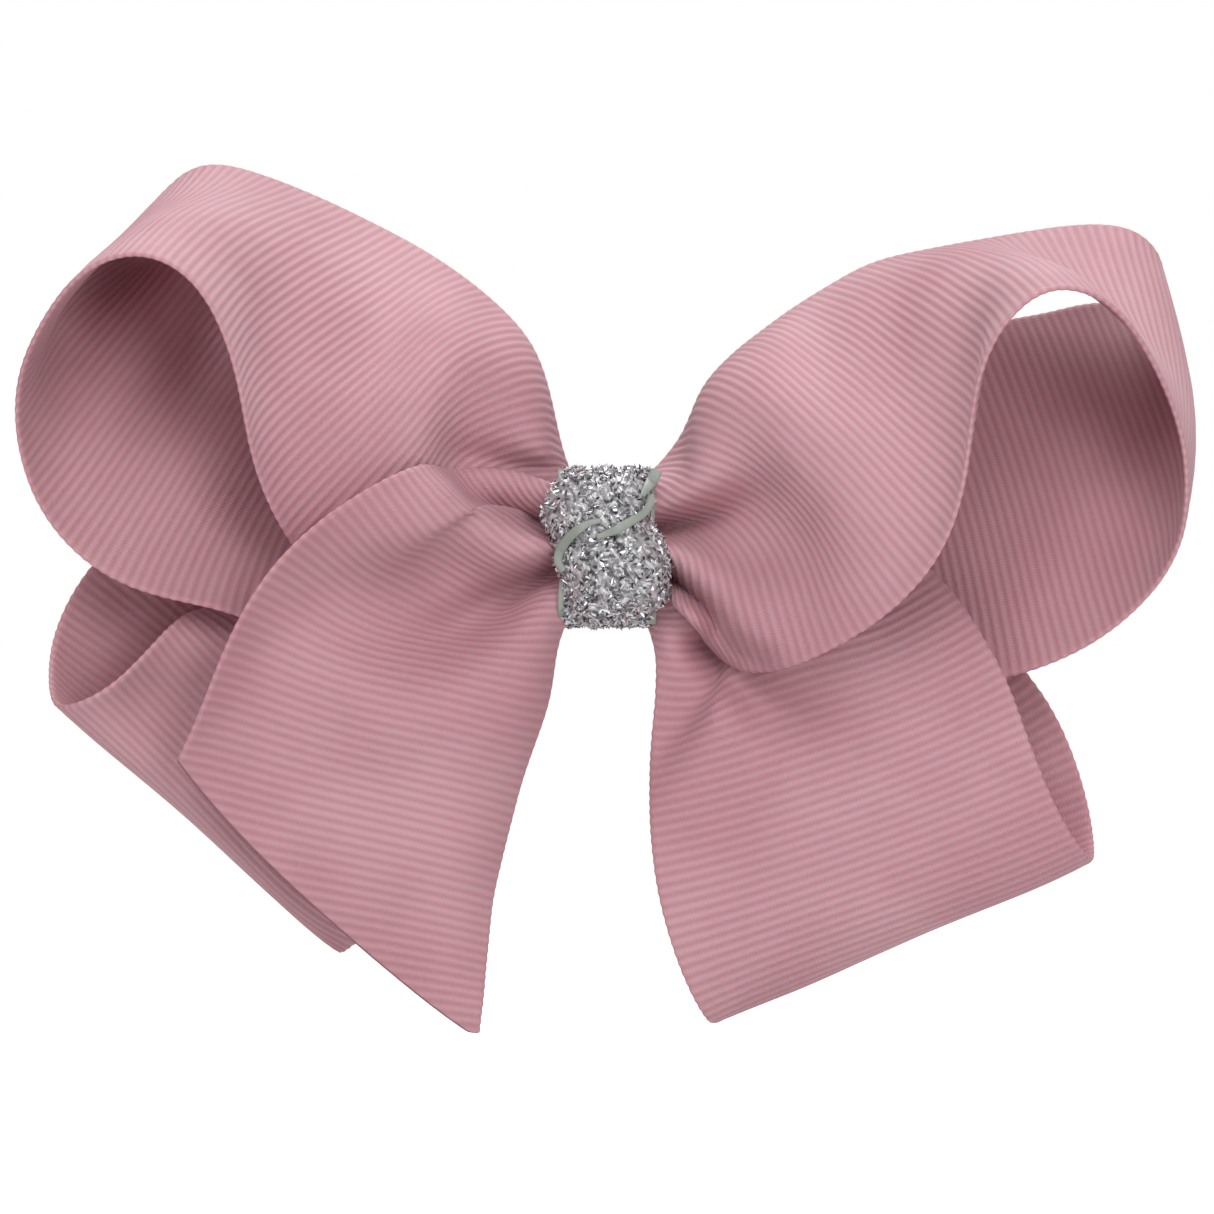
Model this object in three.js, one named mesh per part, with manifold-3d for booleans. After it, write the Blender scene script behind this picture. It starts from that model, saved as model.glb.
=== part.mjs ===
// Ribbon hair bow: four ribbon loops and a cut tail, pinched and tied in the middle, bound to a sprung
// alligator clip by a glitter ribbon with a knot in front.
// Millimetres. +X right, +Z up, the front of the bow faces -Y, hair goes behind it at +Y.
// The origin is on the back of the centre band, where the hair lies in the clip.
import * as THREE from 'three';
import Module from 'manifold-3d';

const wasm = await Module();
wasm.setup();
const { Manifold, Mesh: ManifoldMesh } = wasm;

// ---- driving dimensions -------------------------------------------------------------------------
const GAP = 0.35;              // air between neighbouring solids
const RIBBON_T = 0.9;          // ribbon, drawn thicker than the woven strip it stands for
const ROOT_X = 4.2;            // where every loop leaves the pinched waist
const BUNDLE_Y = -9;           // middle of the pinched ribbon, front to back

const BAND_W = 9.6;            // glitter ribbon, along X
const BAND_T = 0.7;
const BAND_H = 7.8;            // half height of the band outside
const BAND_FRONT = -14.6;      // front face of the band
const BAND_ROUND = 2.4;        // corner radius of the band

const WAIST_X = 3.8;           // half length of the pinched ribbon core
const WAIST_H = 5.5;
const WAIST_D = 3.4;
const WAIST_ROUND = 2;         // corner radius of the core
const THREAD_T = 0.7;
const THREAD_W = 2.4;

const KNOT_Y = BAND_FRONT - 1.4;   // middle of the knot's lobes
const KNOT_REST = 4.5;             // depth cut off the lobes where they lie on the band
const KNOT_UPPER = { x: -0.9, z: 3.3, rx: 6.2, ry: 2.9, rz: 4.4, turn: 10 };
const KNOT_LOWER = { x: 1.3, z: -1.9, rx: 6.1, ry: 3.2, rz: 4.0, turn: 14 };

const CLIP_TIP = -24;          // clip, tip to thumb tab along X
const CLIP_TAB = 23;
const PLATE_W = 8.4;
const PLATE_T = 0.9;
const PLATE_Y = -1.05;         // back face of the top plate
const PLATE_CORNER = 3.4;      // square cut off each corner of the plate, turned by 45 degrees
const EAR_T = 0.7;
const EAR_L = 5.4;             // width of the plate's ears
const EAR_RISE = 2.4;          // ear above the hinge axis
const EAR_ROOT = 0.2;          // ear sunk into the plate
const PIVOT = { x: 10.5, y: 2.2 };
const PIN_R = 0.9;
const PIN_CLEAR = 0.08;
const PIN_HALF = 4.9;
const PIN_HEAD_R = 1.4;
const PIN_HEAD_T = 0.5;
const JAW_W = 6.2;
const JAW_T = 0.8;
const JAW_TIP_IN = 0.6;        // jaw tip behind the plate's tip
const JAW_EAR_R = 2.5;
const JAW_EAR_TOP = 5.6;       // where the jaw's ears meet the jaw
const TOOTH = { pitch: 1.6, depth: 0.9, width: 0.9, slope: 0.34, count: 5 };
const SPRING_WIRE = 0.5;
const SPRING_R = 1.75;
const SPRING_LEG = 8.0;
const SPRING_TURNS = 2;
const SPRING_FROM = 1.95;      // outer end of each half of the spring, from the middle
const SPRING_RISE = 1.6;
const PLATE_LEG_ANGLE = -0.06; // radians from +X
const JAW_LEG_ANGLE = 0.42;
const ROUND_SEGS = 32;

const LINING_T = 0.6;
const LINING_L = 38;
const LINING_X = -1;
const LINING_EDGE = 0.2;       // plate showing past the lining's sides
const GLUE_T = 0.7;
const GLUE_R = { bottom: 2.8, top: 3.4 };

const PINK = 0xc9929b;
const PINK_DEEP = 0xb98089;
const SILVER_GLITTER = 0xb9b6b4;
const STEEL = 0xc4c6c8;
const GLUE = 0xd8d2c4;

const STRIP_COLS = 7;          // points across every ribbon

// ---- ribbon shapes: the near selvedge and the far selvedge at stations along each pass ----------
// Every station is [near x, y, z, far x, y, z]; y counts from the middle of the pinched ribbon.
const LOOP_UPPER_RIGHT = [
  [ROOT_X, -3.6, -5.2, ROOT_X, -3.2, 5.6],
  [9, -7, -9.2, 5, -3, 6.6],
  [15, -11, -12, 5.6, -2.5, 7.4],
  [21.6, -14, -10.1, 6.6, -2, 9.5],
  [28.9, -16.5, -5.2, 8.1, 1, 14.5],
  [33.3, -18, 2, 12.5, 7, 19.5],
  [35.4, -19, 11.3, 20, 12, 25],
  [38.6, -19, 21.5, 28.5, 15, 28.4],
  [44.5, -18.5, 24, 38, 17, 30.4],
  [50.5, -18, 21, 48.5, 17.5, 30.8],
  [54.6, -16.5, 11.5, 51, 15.5, 26],
  [55.6, -13, 2.5, 47, 13.5, 24],
  [51, -8.5, -7, 43.5, 12.5, 22.6],
  [42, -4, -12, 36, 12, 20.8],
  [31.3, -0.8, -11.5, 24.5, 10, 17.1],
  [17.8, 0.4, -8, 12.9, 6, 11.3],
  [ROOT_X, 0.6, -4.3, ROOT_X, 1.4, 5.2],
];
const LOOP_UPPER_LEFT = [
  [-ROOT_X, -1.9, -4.6, -ROOT_X, -1.9, 6],
  [-10.4, -4, -6.8, -4.8, -2.6, 8],
  [-18.1, -7.5, -6.8, -4.9, -2.4, 10],
  [-25.4, -10.5, -4, -5.4, -1, 13],
  [-30.7, -13, 0.8, -6.5, 2, 17.5],
  [-34.4, -16, 8.5, -10.2, 8.5, 24],
  [-36.3, -18, 18.5, -17.5, 13.5, 29.6],
  [-42, -18.5, 27, -27, 15.5, 33.4],
  [-48.5, -17.5, 27.6, -36.5, 16, 36.2],
  [-54, -16, 20, -41.3, 15, 34.4],
  [-56, -14.5, 12, -41.3, 14, 29],
  [-54.4, -12, 3.5, -38.5, 12.6, 25],
  [-48.5, -9, -3, -34.3, 11.5, 22.2],
  [-38.6, -6.5, -5.6, -28, 10.4, 20],
  [-26, -3.6, -5.8, -19, 8.2, 15.6],
  [-14.3, -1.4, -5, -11.3, 4.6, 10.6],
  [-ROOT_X, -0.2, -3.6, -ROOT_X, 0.2, 5.2],
];
const LOOP_LOWER_RIGHT = [
  [ROOT_X, -1.6, 3.6, ROOT_X, -1.7, -5.6],
  [12.9, -2.6, 2.6, 5.4, -2.6, -7.4],
  [21.6, -4.4, 1.6, 5.4, -3.6, -11],
  [29.9, -6.6, -1.8, 5.2, -4.6, -16],
  [36.2, -8.4, -9.1, 5, -5, -22],
  [40.8, -9, -18, 5.6, -5, -30],
  [44, -8, -26.6, 7.3, -3.6, -39],
  [46, -4.4, -30.2, 8.8, -1.4, -44.2],
  [46.4, 1.2, -30.2, 9.4, 1.8, -45],
  [46.2, 5.6, -25, 8.8, 4.2, -40.5],
  [44.4, 7.6, -17, 7.6, 5.2, -33],
  [39, 7.4, -8, 6.6, 5.2, -23],
  [23.6, 4.6, -1, 5.8, 3.8, -12.5],
  [ROOT_X, 2.4, 2.6, ROOT_X, 2.4, -4.6],
];
const LOOP_LOWER_LEFT = [
  [-ROOT_X, 1.5, 3.2, -ROOT_X, 1.5, -4.6],
  [-15.2, 1.4, 1.4, -5.9, 1.2, -10.1],
  [-25.9, 0.6, -1.6, -8.9, 0.6, -16.9],
  [-35, -0.6, -5.8, -14, 0, -25],
  [-44.3, -2.4, -12.4, -20.1, -0.4, -34.6],
  [-50.4, -1.8, -16, -24.4, 0, -39.4],
  [-53.4, 1.6, -14.8, -25.4, 2, -39.4],
  [-53.4, 5.6, -10, -24.6, 4, -36],
  [-50, 8.2, -3, -22, 5.4, -29],
  [-40, 8.6, 0.4, -17, 5.8, -19.5],
  [-24, 6, 2, -10, 5, -11],
  [-ROOT_X, 3.2, 2.4, -ROOT_X, 3.2, -4],
];
const TAIL_FRONT = [
  [-ROOT_X, -3.6, 4.6, -ROOT_X, -3.6, -5.2],
  [-10.4, -6.4, 6.4, -5, -5, -8.1],
  [-16.2, -9, 7.6, -5.2, -5.4, -11.1],
  [-22, -11, 5.9, -5.5, -6, -14.9],
  [-30, -12.8, 0.6, -6.6, -6.4, -21.4],
  [-35.6, -12.5, -6.7, -8.6, -6.6, -28],
  [-38.6, -11, -13, -9.9, -6.6, -33.4],
  [-41.6, -8.6, -23.6, -12.4, -6, -47],
];
const TAIL_REAR = [
  [ROOT_X, 4, 0.6, ROOT_X, 4, -4.8],
  [8, 5, -0.6, 5.2, 4.8, -7.6],
  [13, 6.2, -2.6, 6.6, 6, -11.6],
  [19, 7.4, -5.2, 9, 7, -15.6],
];

// ---- helpers ------------------------------------------------------------------------------------
const group = new THREE.Group();
group.name = 'hair_bow';

function material(color, roughness, metalness) {
  return new THREE.MeshStandardMaterial({ color, roughness, metalness });
}

function addMesh(name, geometry, mat) {
  const mesh = new THREE.Mesh(geometry, mat);
  mesh.name = name;
  group.add(mesh);
}

function toSolid(positions, indices) {
  const mesh = new ManifoldMesh({
    numProp: 3,
    vertProperties: new Float32Array(positions),
    triVerts: new Uint32Array(indices),
  });
  mesh.merge();
  return new Manifold(mesh);
}

function toGeometry(solid) {
  const mesh = solid.getMesh();
  const geometry = new THREE.BufferGeometry();
  geometry.setAttribute('position', new THREE.BufferAttribute(mesh.vertProperties.slice(), 3));
  geometry.setIndex(new THREE.BufferAttribute(mesh.triVerts.slice(), 1));
  geometry.computeVertexNormals();
  return geometry;
}

function solidOf(geometry) {
  const index = geometry.index ? geometry.index.array : [...Array(geometry.attributes.position.count).keys()];
  return toSolid(geometry.attributes.position.array, index);
}

function curveThrough(stations, first, count) {
  const points = stations.map((s) => new THREE.Vector3(s[first], s[first + 1] + BUNDLE_Y, s[first + 2]));
  const curve = new THREE.CatmullRomCurve3(points, false, 'catmullrom', 0.5);
  return Array.from({ length: count }, (_, i) => curve.getPoint(i / (count - 1)));
}

// A strip of even thickness between two selvedge curves.
function strip(stations, rows, cols, thickness) {
  const near = curveThrough(stations, 0, rows);
  const far = curveThrough(stations, 3, rows);
  const grid = near.map((p, i) => (
    Array.from({ length: cols }, (_, j) => p.clone().lerp(far[i], j / (cols - 1)))
  ));
  const positions = [];
  for (const side of [1, -1]) {
    for (let i = 0; i < rows; i += 1) {
      for (let j = 0; j < cols; j += 1) {
        const along = grid[Math.min(i + 1, rows - 1)][j].clone().sub(grid[Math.max(i - 1, 0)][j]);
        const across = grid[i][Math.min(j + 1, cols - 1)].clone().sub(grid[i][Math.max(j - 1, 0)]);
        const normal = along.cross(across).normalize();
        const p = grid[i][j].clone().addScaledVector(normal, side * thickness / 2);
        positions.push(p.x, p.y, p.z);
      }
    }
  }
  const at = (side, i, j) => side * rows * cols + i * cols + j;
  const indices = [];
  const quad = (a, b, c, d) => indices.push(a, b, c, a, c, d);
  for (let i = 0; i < rows - 1; i += 1) {
    for (let j = 0; j < cols - 1; j += 1) {
      quad(at(0, i, j), at(0, i + 1, j), at(0, i + 1, j + 1), at(0, i, j + 1));
      quad(at(1, i, j), at(1, i, j + 1), at(1, i + 1, j + 1), at(1, i + 1, j));
    }
    quad(at(0, i, 0), at(1, i, 0), at(1, i + 1, 0), at(0, i + 1, 0));
    quad(at(0, i, cols - 1), at(0, i + 1, cols - 1), at(1, i + 1, cols - 1), at(1, i, cols - 1));
  }
  for (let j = 0; j < cols - 1; j += 1) {
    quad(at(0, 0, j), at(0, 0, j + 1), at(1, 0, j + 1), at(1, 0, j));
    quad(at(0, rows - 1, j), at(1, rows - 1, j), at(1, rows - 1, j + 1), at(0, rows - 1, j + 1));
  }
  return toSolid(positions, indices);
}

function largestBody(solid) {
  return solid.decompose().sort((a, b) => b.volume() - a.volume())[0];
}

function box(cx, cy, cz, sx, sy, sz) {
  return solidOf(new THREE.BoxGeometry(sx, sy, sz).translate(cx, cy, cz));
}

// A closed outline in X and Y, extruded along Z about the middle.
function plateXY(outline, width) {
  const shape = new THREE.Shape(outline.map(([x, y]) => new THREE.Vector2(x, y)));
  const geometry = new THREE.ExtrudeGeometry(shape, { depth: width, bevelEnabled: false });
  geometry.translate(0, 0, -width / 2);
  return solidOf(geometry);
}

// A cylinder along Z.
function disc(radius, x, y, z0, z1) {
  const geometry = new THREE.CylinderGeometry(radius, radius, z1 - z0, ROUND_SEGS);
  geometry.rotateX(Math.PI / 2).translate(x, y, (z0 + z1) / 2);
  return solidOf(geometry);
}

function onPivot(radius, z0, z1) {
  return disc(radius, PIVOT.x, PIVOT.y, z0, z1);
}

// A rounded rectangle in Y and Z, extruded along X about the middle.
function roundedYZ(y0, y1, halfZ, radius, width) {
  const shape = new THREE.Shape();
  shape.moveTo(y0 + radius, -halfZ);
  shape.lineTo(y1 - radius, -halfZ);
  shape.quadraticCurveTo(y1, -halfZ, y1, -halfZ + radius);
  shape.lineTo(y1, halfZ - radius);
  shape.quadraticCurveTo(y1, halfZ, y1 - radius, halfZ);
  shape.lineTo(y0 + radius, halfZ);
  shape.quadraticCurveTo(y0, halfZ, y0, halfZ - radius);
  shape.lineTo(y0, -halfZ + radius);
  shape.quadraticCurveTo(y0, -halfZ, y0 + radius, -halfZ);
  const geometry = new THREE.ExtrudeGeometry(shape, { depth: width, bevelEnabled: false, curveSegments: 6 });
  geometry.translate(0, 0, -width / 2);
  geometry.applyMatrix4(new THREE.Matrix4().set(0, 0, 1, 0, 1, 0, 0, 0, 0, 1, 0, 0, 0, 0, 0, 1));
  return solidOf(geometry);
}

// ---- centre: waist, thread, band, knot ----------------------------------------------------------
const waist = roundedYZ(BUNDLE_Y - WAIST_D, BUNDLE_Y + WAIST_D, WAIST_H, WAIST_ROUND, 2 * WAIST_X);
const threadGrow = GAP + THREAD_T;
const threadOuter = roundedYZ(
  BUNDLE_Y - WAIST_D - threadGrow,
  BUNDLE_Y + WAIST_D + threadGrow,
  WAIST_H + threadGrow,
  WAIST_ROUND + THREAD_T,
  THREAD_W,
);
const threadInner = roundedYZ(
  BUNDLE_Y - WAIST_D - GAP,
  BUNDLE_Y + WAIST_D + GAP,
  WAIST_H + GAP,
  WAIST_ROUND,
  THREAD_W + 1,
);
const thread = threadOuter.subtract(threadInner);

const bandOuter = roundedYZ(BAND_FRONT, 0, BAND_H, BAND_ROUND, BAND_W);
const bandInner = roundedYZ(BAND_FRONT + BAND_T, -BAND_T, BAND_H - BAND_T, BAND_ROUND - BAND_T, BAND_W + 2);
const band = bandOuter.subtract(bandInner);

// The knot is two crossed lobes of the glitter ribbon in front of the band.
function knotBody(grow) {
  const lobe = ({ x, z, rx, ry, rz, turn }) => {
    const geometry = new THREE.SphereGeometry(1, 28, 14);
    geometry.scale(rx + grow, ry + grow, rz + grow);
    geometry.rotateY(THREE.MathUtils.degToRad(turn)).translate(x, KNOT_Y, z);
    return solidOf(geometry);
  };
  const behind = box(0, BAND_FRONT + KNOT_REST - GAP + grow, 0, 30, 2 * KNOT_REST, 30);
  return lobe(KNOT_UPPER).add(lobe(KNOT_LOWER)).subtract(behind);
}
const knot = knotBody(0);

// ---- ribbon loops and tails ---------------------------------------------------------------------
const keepOut = bandOuter
  .add(roundedYZ(BAND_FRONT - GAP, GAP, BAND_H + GAP, BAND_ROUND, BAND_W + 2 * GAP))
  .subtract(roundedYZ(
    BAND_FRONT + BAND_T + GAP,
    -BAND_T - GAP,
    BAND_H - BAND_T - GAP,
    BAND_ROUND / 2,
    BAND_W + 4,
  ))
  .add(knotBody(GAP))
  .add(box(0, PLATE_Y - PLATE_T / 2, 0, 2 * CLIP_TAB + 6, PLATE_T + 2, PLATE_W + 1));

const ribbonPieces = [
  ['ribbon_tail_front', TAIL_FRONT, 16],
  ['ribbon_loop_upper_right', LOOP_UPPER_RIGHT, 38],
  ['ribbon_loop_upper_left', LOOP_UPPER_LEFT, 38],
  ['ribbon_loop_lower_right', LOOP_LOWER_RIGHT, 32],
  ['ribbon_loop_lower_left', LOOP_LOWER_LEFT, 30],
  ['ribbon_tail_rear', TAIL_REAR, 8],
];
let taken = keepOut;
for (const [name, stations, rows] of ribbonPieces) {
  const solid = largestBody(strip(stations, rows, STRIP_COLS, RIBBON_T).subtract(taken));
  addMesh(name, toGeometry(solid), material(PINK, 0.85, 0));
  taken = taken.add(solid).add(strip(stations, rows, STRIP_COLS, RIBBON_T + 2 * GAP));
}
addMesh('ribbon_waist', toGeometry(waist), material(PINK_DEEP, 0.9, 0));
addMesh('gather_thread', toGeometry(thread), material(PINK_DEEP, 0.8, 0));
addMesh('center_band', toGeometry(band), material(SILVER_GLITTER, 0.45, 0.3));
addMesh('center_knot', toGeometry(knot), material(SILVER_GLITTER, 0.45, 0.3));

// ---- clip ---------------------------------------------------------------------------------------
const plateMidY = PLATE_Y - PLATE_T / 2;
const plateMidX = (CLIP_TIP + CLIP_TAB) / 2;
const earHigh = PIVOT.y + EAR_RISE;
let plate = box(plateMidX, plateMidY, 0, CLIP_TAB - CLIP_TIP, PLATE_T, PLATE_W);
for (const end of [-1, 1]) {
  const cx = end < 0 ? CLIP_TIP : CLIP_TAB;
  for (const side of [-1, 1]) {
    const corner = new THREE.BoxGeometry(PLATE_CORNER, 3 * PLATE_T, PLATE_CORNER);
    corner.rotateY(Math.PI / 4).translate(cx, plateMidY, side * (PLATE_W / 2));
    plate = plate.subtract(solidOf(corner));
  }
}
for (const side of [-1, 1]) {
  const z = side * (PLATE_W / 2 - EAR_T / 2);
  const earFoot = PLATE_Y - EAR_ROOT;
  const earCentre = earHigh - EAR_L / 2;
  plate = plate
    .add(box(PIVOT.x, (earFoot + earCentre) / 2, z, EAR_L, earCentre - earFoot, EAR_T))
    .add(disc(EAR_L / 2, PIVOT.x, earCentre, z - EAR_T / 2, z + EAR_T / 2));
}
plate = plate.subtract(onPivot(PIN_R + PIN_CLEAR, -PIN_HALF - 1, PIN_HALF + 1));
addMesh('clip_top_plate', toGeometry(plate), material(STEEL, 0.3, 1));

// The jaw bows away from the plate, meets it at the toothed tip and flares out at the thumb tab.
const jawLine = [
  [CLIP_TIP + JAW_TIP_IN, PLATE_Y + GAP + 1.4],
  [CLIP_TIP + 6, 1.9],
  [CLIP_TIP + 14, 3.0],
  [0, 4.0],
  [PIVOT.x - 3, 4.9],
  [PIVOT.x + 1.5, 5.6],
  [PIVOT.x + 6, 7.6],
  [CLIP_TAB, 11.6],
];
const jawCurve = new THREE.CatmullRomCurve3(jawLine.map(([x, y]) => new THREE.Vector3(x, y, 0)));
const jawPoints = Array.from({ length: 33 }, (_, i) => jawCurve.getPoint(i / 32));
const jawOutline = [
  ...jawPoints.map((p) => [p.x, p.y]),
  ...jawPoints.slice().reverse().map((p) => [p.x + 0.12 * JAW_T, p.y + JAW_T]),
];
let jaw = plateXY(jawOutline, JAW_W);
for (let i = 0; i < TOOTH.count; i += 1) {
  const x = CLIP_TIP + JAW_TIP_IN + TOOTH.pitch * i;
  const sunk = JAW_T * 0.6;
  const rootY = jawCurve.getPoint(0).y + TOOTH.slope * i * TOOTH.pitch + sunk;
  const tipY = i === 0 ? PLATE_Y + GAP : rootY - sunk - TOOTH.depth;
  jaw = jaw.add(plateXY([[x, tipY], [x + TOOTH.width, rootY], [x, rootY]], JAW_W));
}
for (const side of [-1, 1]) {
  const z = side * (JAW_W / 2 - EAR_T / 2);
  jaw = jaw
    .add(onPivot(JAW_EAR_R, z - EAR_T / 2, z + EAR_T / 2))
    .add(box(PIVOT.x, (PIVOT.y + JAW_EAR_TOP) / 2, z, 2 * JAW_EAR_R, JAW_EAR_TOP - PIVOT.y, EAR_T));
}
jaw = jaw.subtract(onPivot(PIN_R + PIN_CLEAR, -PIN_HALF - 1, PIN_HALF + 1));
addMesh('clip_jaw', toGeometry(jaw), material(STEEL, 0.3, 1));

const pin = onPivot(PIN_R, -PIN_HALF, PIN_HALF)
  .add(onPivot(PIN_HEAD_R, -PIN_HALF - PIN_HEAD_T, -PIN_HALF))
  .add(onPivot(PIN_HEAD_R, PIN_HALF, PIN_HALF + PIN_HEAD_T));
addMesh('hinge_pin', toGeometry(pin), material(STEEL, 0.3, 1));

// Each half of the torsion spring: two turns round the pin and a leg along one thumb tab.
function springHalf(z0, rise, legAngle, turnSign) {
  const steps = 40;
  const points = [];
  for (let i = 0; i <= steps; i += 1) {
    const a = legAngle + turnSign * (Math.PI / 2 + (2 * Math.PI * SPRING_TURNS * (steps - i)) / steps);
    const z = z0 + (rise * (steps - i)) / steps;
    const x = PIVOT.x + SPRING_R * Math.cos(a);
    const y = PIVOT.y + SPRING_R * Math.sin(a);
    points.push(new THREE.Vector3(x, y, z));
  }
  const last = points[points.length - 1];
  const dir = new THREE.Vector3(Math.cos(legAngle), Math.sin(legAngle), 0);
  for (let k = 1; k <= 3; k += 1) {
    points.push(last.clone().addScaledVector(dir, (SPRING_LEG * k) / 3));
  }
  const path = new THREE.CatmullRomCurve3(points);
  const shape = new THREE.Shape();
  for (let k = 0; k < 6; k += 1) {
    const a = (Math.PI / 3) * k;
    const p = [SPRING_WIRE / 2 * Math.cos(a), SPRING_WIRE / 2 * Math.sin(a)];
    if (k === 0) shape.moveTo(p[0], p[1]);
    else shape.lineTo(p[0], p[1]);
  }
  const geometry = new THREE.ExtrudeGeometry(shape, { steps: 56, extrudePath: path, bevelEnabled: false });
  return solidOf(geometry);
}
const plateLeg = springHalf(-SPRING_FROM, SPRING_RISE, PLATE_LEG_ANGLE, -1);
const jawLeg = springHalf(SPRING_FROM, -SPRING_RISE, JAW_LEG_ANGLE, 1);
addMesh('spring_plate_arm', toGeometry(plateLeg), material(STEEL, 0.35, 1));
addMesh('spring_jaw_arm', toGeometry(jawLeg), material(STEEL, 0.35, 1));

// ---- lining and glue under the bow --------------------------------------------------------------
const liningFront = PLATE_Y - PLATE_T - GAP - LINING_T;
const liningWidth = PLATE_W - 2 * LINING_EDGE;
const lining = box(LINING_X, liningFront + LINING_T / 2, 0, LINING_L, LINING_T, liningWidth);
addMesh('clip_lining', toGeometry(lining), material(PINK_DEEP, 0.9, 0));
const glue = new THREE.CylinderGeometry(GLUE_R.top, GLUE_R.bottom, GLUE_T, ROUND_SEGS);
glue.translate(0, liningFront - GAP - GLUE_T / 2, 0);
addMesh('glue_pad', toGeometry(solidOf(glue)), material(GLUE, 0.3, 0));

export default group;
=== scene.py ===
"""Looks of the ribbon hair bow, in metres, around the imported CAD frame.

The wide ribbon is shaped as a sheet: each loop is a grid with the flat sizes of a woven ribbon, hung
between its two drawn selvedges and relaxed towards those sizes while it is held to the outlines that show
from the front. The outlines win, so the sheet isn't true to size: many cell edges end up more than 6 % off,
some by a third, and the pleated ends by more. Fine meshes with the ribbon's ribs and selvedges are then made
from the relaxed grids.
"""

import math

import bmesh
import bpy
import numpy as np
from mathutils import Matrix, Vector


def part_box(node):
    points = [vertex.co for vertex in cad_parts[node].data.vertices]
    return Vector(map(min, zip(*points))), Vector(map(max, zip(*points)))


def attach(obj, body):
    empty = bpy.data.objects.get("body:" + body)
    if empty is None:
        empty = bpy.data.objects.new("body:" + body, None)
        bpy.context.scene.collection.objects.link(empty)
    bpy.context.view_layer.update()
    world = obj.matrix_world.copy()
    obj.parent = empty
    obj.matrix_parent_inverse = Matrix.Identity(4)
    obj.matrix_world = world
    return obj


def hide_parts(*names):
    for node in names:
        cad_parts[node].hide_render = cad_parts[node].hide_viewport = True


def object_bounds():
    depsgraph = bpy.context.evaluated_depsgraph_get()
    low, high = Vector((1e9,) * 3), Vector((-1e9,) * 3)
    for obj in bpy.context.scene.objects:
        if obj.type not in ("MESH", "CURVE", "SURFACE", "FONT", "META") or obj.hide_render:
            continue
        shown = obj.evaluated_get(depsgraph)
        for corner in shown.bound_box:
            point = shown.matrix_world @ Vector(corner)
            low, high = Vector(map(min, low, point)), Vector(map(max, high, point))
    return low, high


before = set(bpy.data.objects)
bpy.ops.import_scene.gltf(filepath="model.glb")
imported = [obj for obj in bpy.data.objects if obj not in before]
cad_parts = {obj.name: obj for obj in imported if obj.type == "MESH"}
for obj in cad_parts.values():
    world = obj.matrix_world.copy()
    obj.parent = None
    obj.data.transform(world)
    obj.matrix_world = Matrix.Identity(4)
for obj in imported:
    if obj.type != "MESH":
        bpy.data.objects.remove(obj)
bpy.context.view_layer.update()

MM = 0.001
BOW_BODY, JAW_BODY = "bow", "jaw"

# ---- driving dimensions, in millimetres ---------------------------------------------------------
RIBBON_W = 38.0          # wide grosgrain ribbon: an assumed width, which sets the scale
RIBBON_T = 0.36          # its thickness between the ribs
RIB_PITCH = 0.97
RIB_HIGH = 0.12          # rib above the ground of the weave, on each face
ROWS_PER_RIB = 6
BEAD = 0.07              # picot bead along the selvedges
BUNDLE_Y = -9.0          # middle of the pinched ribbon, front to back
PINCH_X = 3.6            # where the loops leave the pinch, inside the band
BAND_W = 9.6             # as it lies round the middle
BAND_T = 0.5
TAIL_CUT = (1.2, 21.8)   # s where the slanted cut meets the tail's near and far selvedge

# ---- camera, first in the making ----------------------------------------------------------------
CAM_AWAY = 1100.0        # camera to the middle of the bow
CAM_Z = -5.82
VIEW_W = 117.8           # width of the view at the middle of the bow
SENSOR = 36.0


def add_object(name, data):
    obj = bpy.data.objects.new(name, data)
    bpy.context.scene.collection.objects.link(obj)
    return obj


def make_camera():
    data = bpy.data.cameras.new("camera")
    data.sensor_width = SENSOR
    data.lens = SENSOR * CAM_AWAY / VIEW_W
    data.clip_start, data.clip_end = 0.01, 20
    camera = add_object("camera", data)
    camera.location = (0, (BUNDLE_Y - CAM_AWAY) * MM, CAM_Z * MM)
    camera.rotation_euler = (math.pi / 2, 0, 0)
    bpy.context.scene.camera = camera


make_camera()

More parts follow.
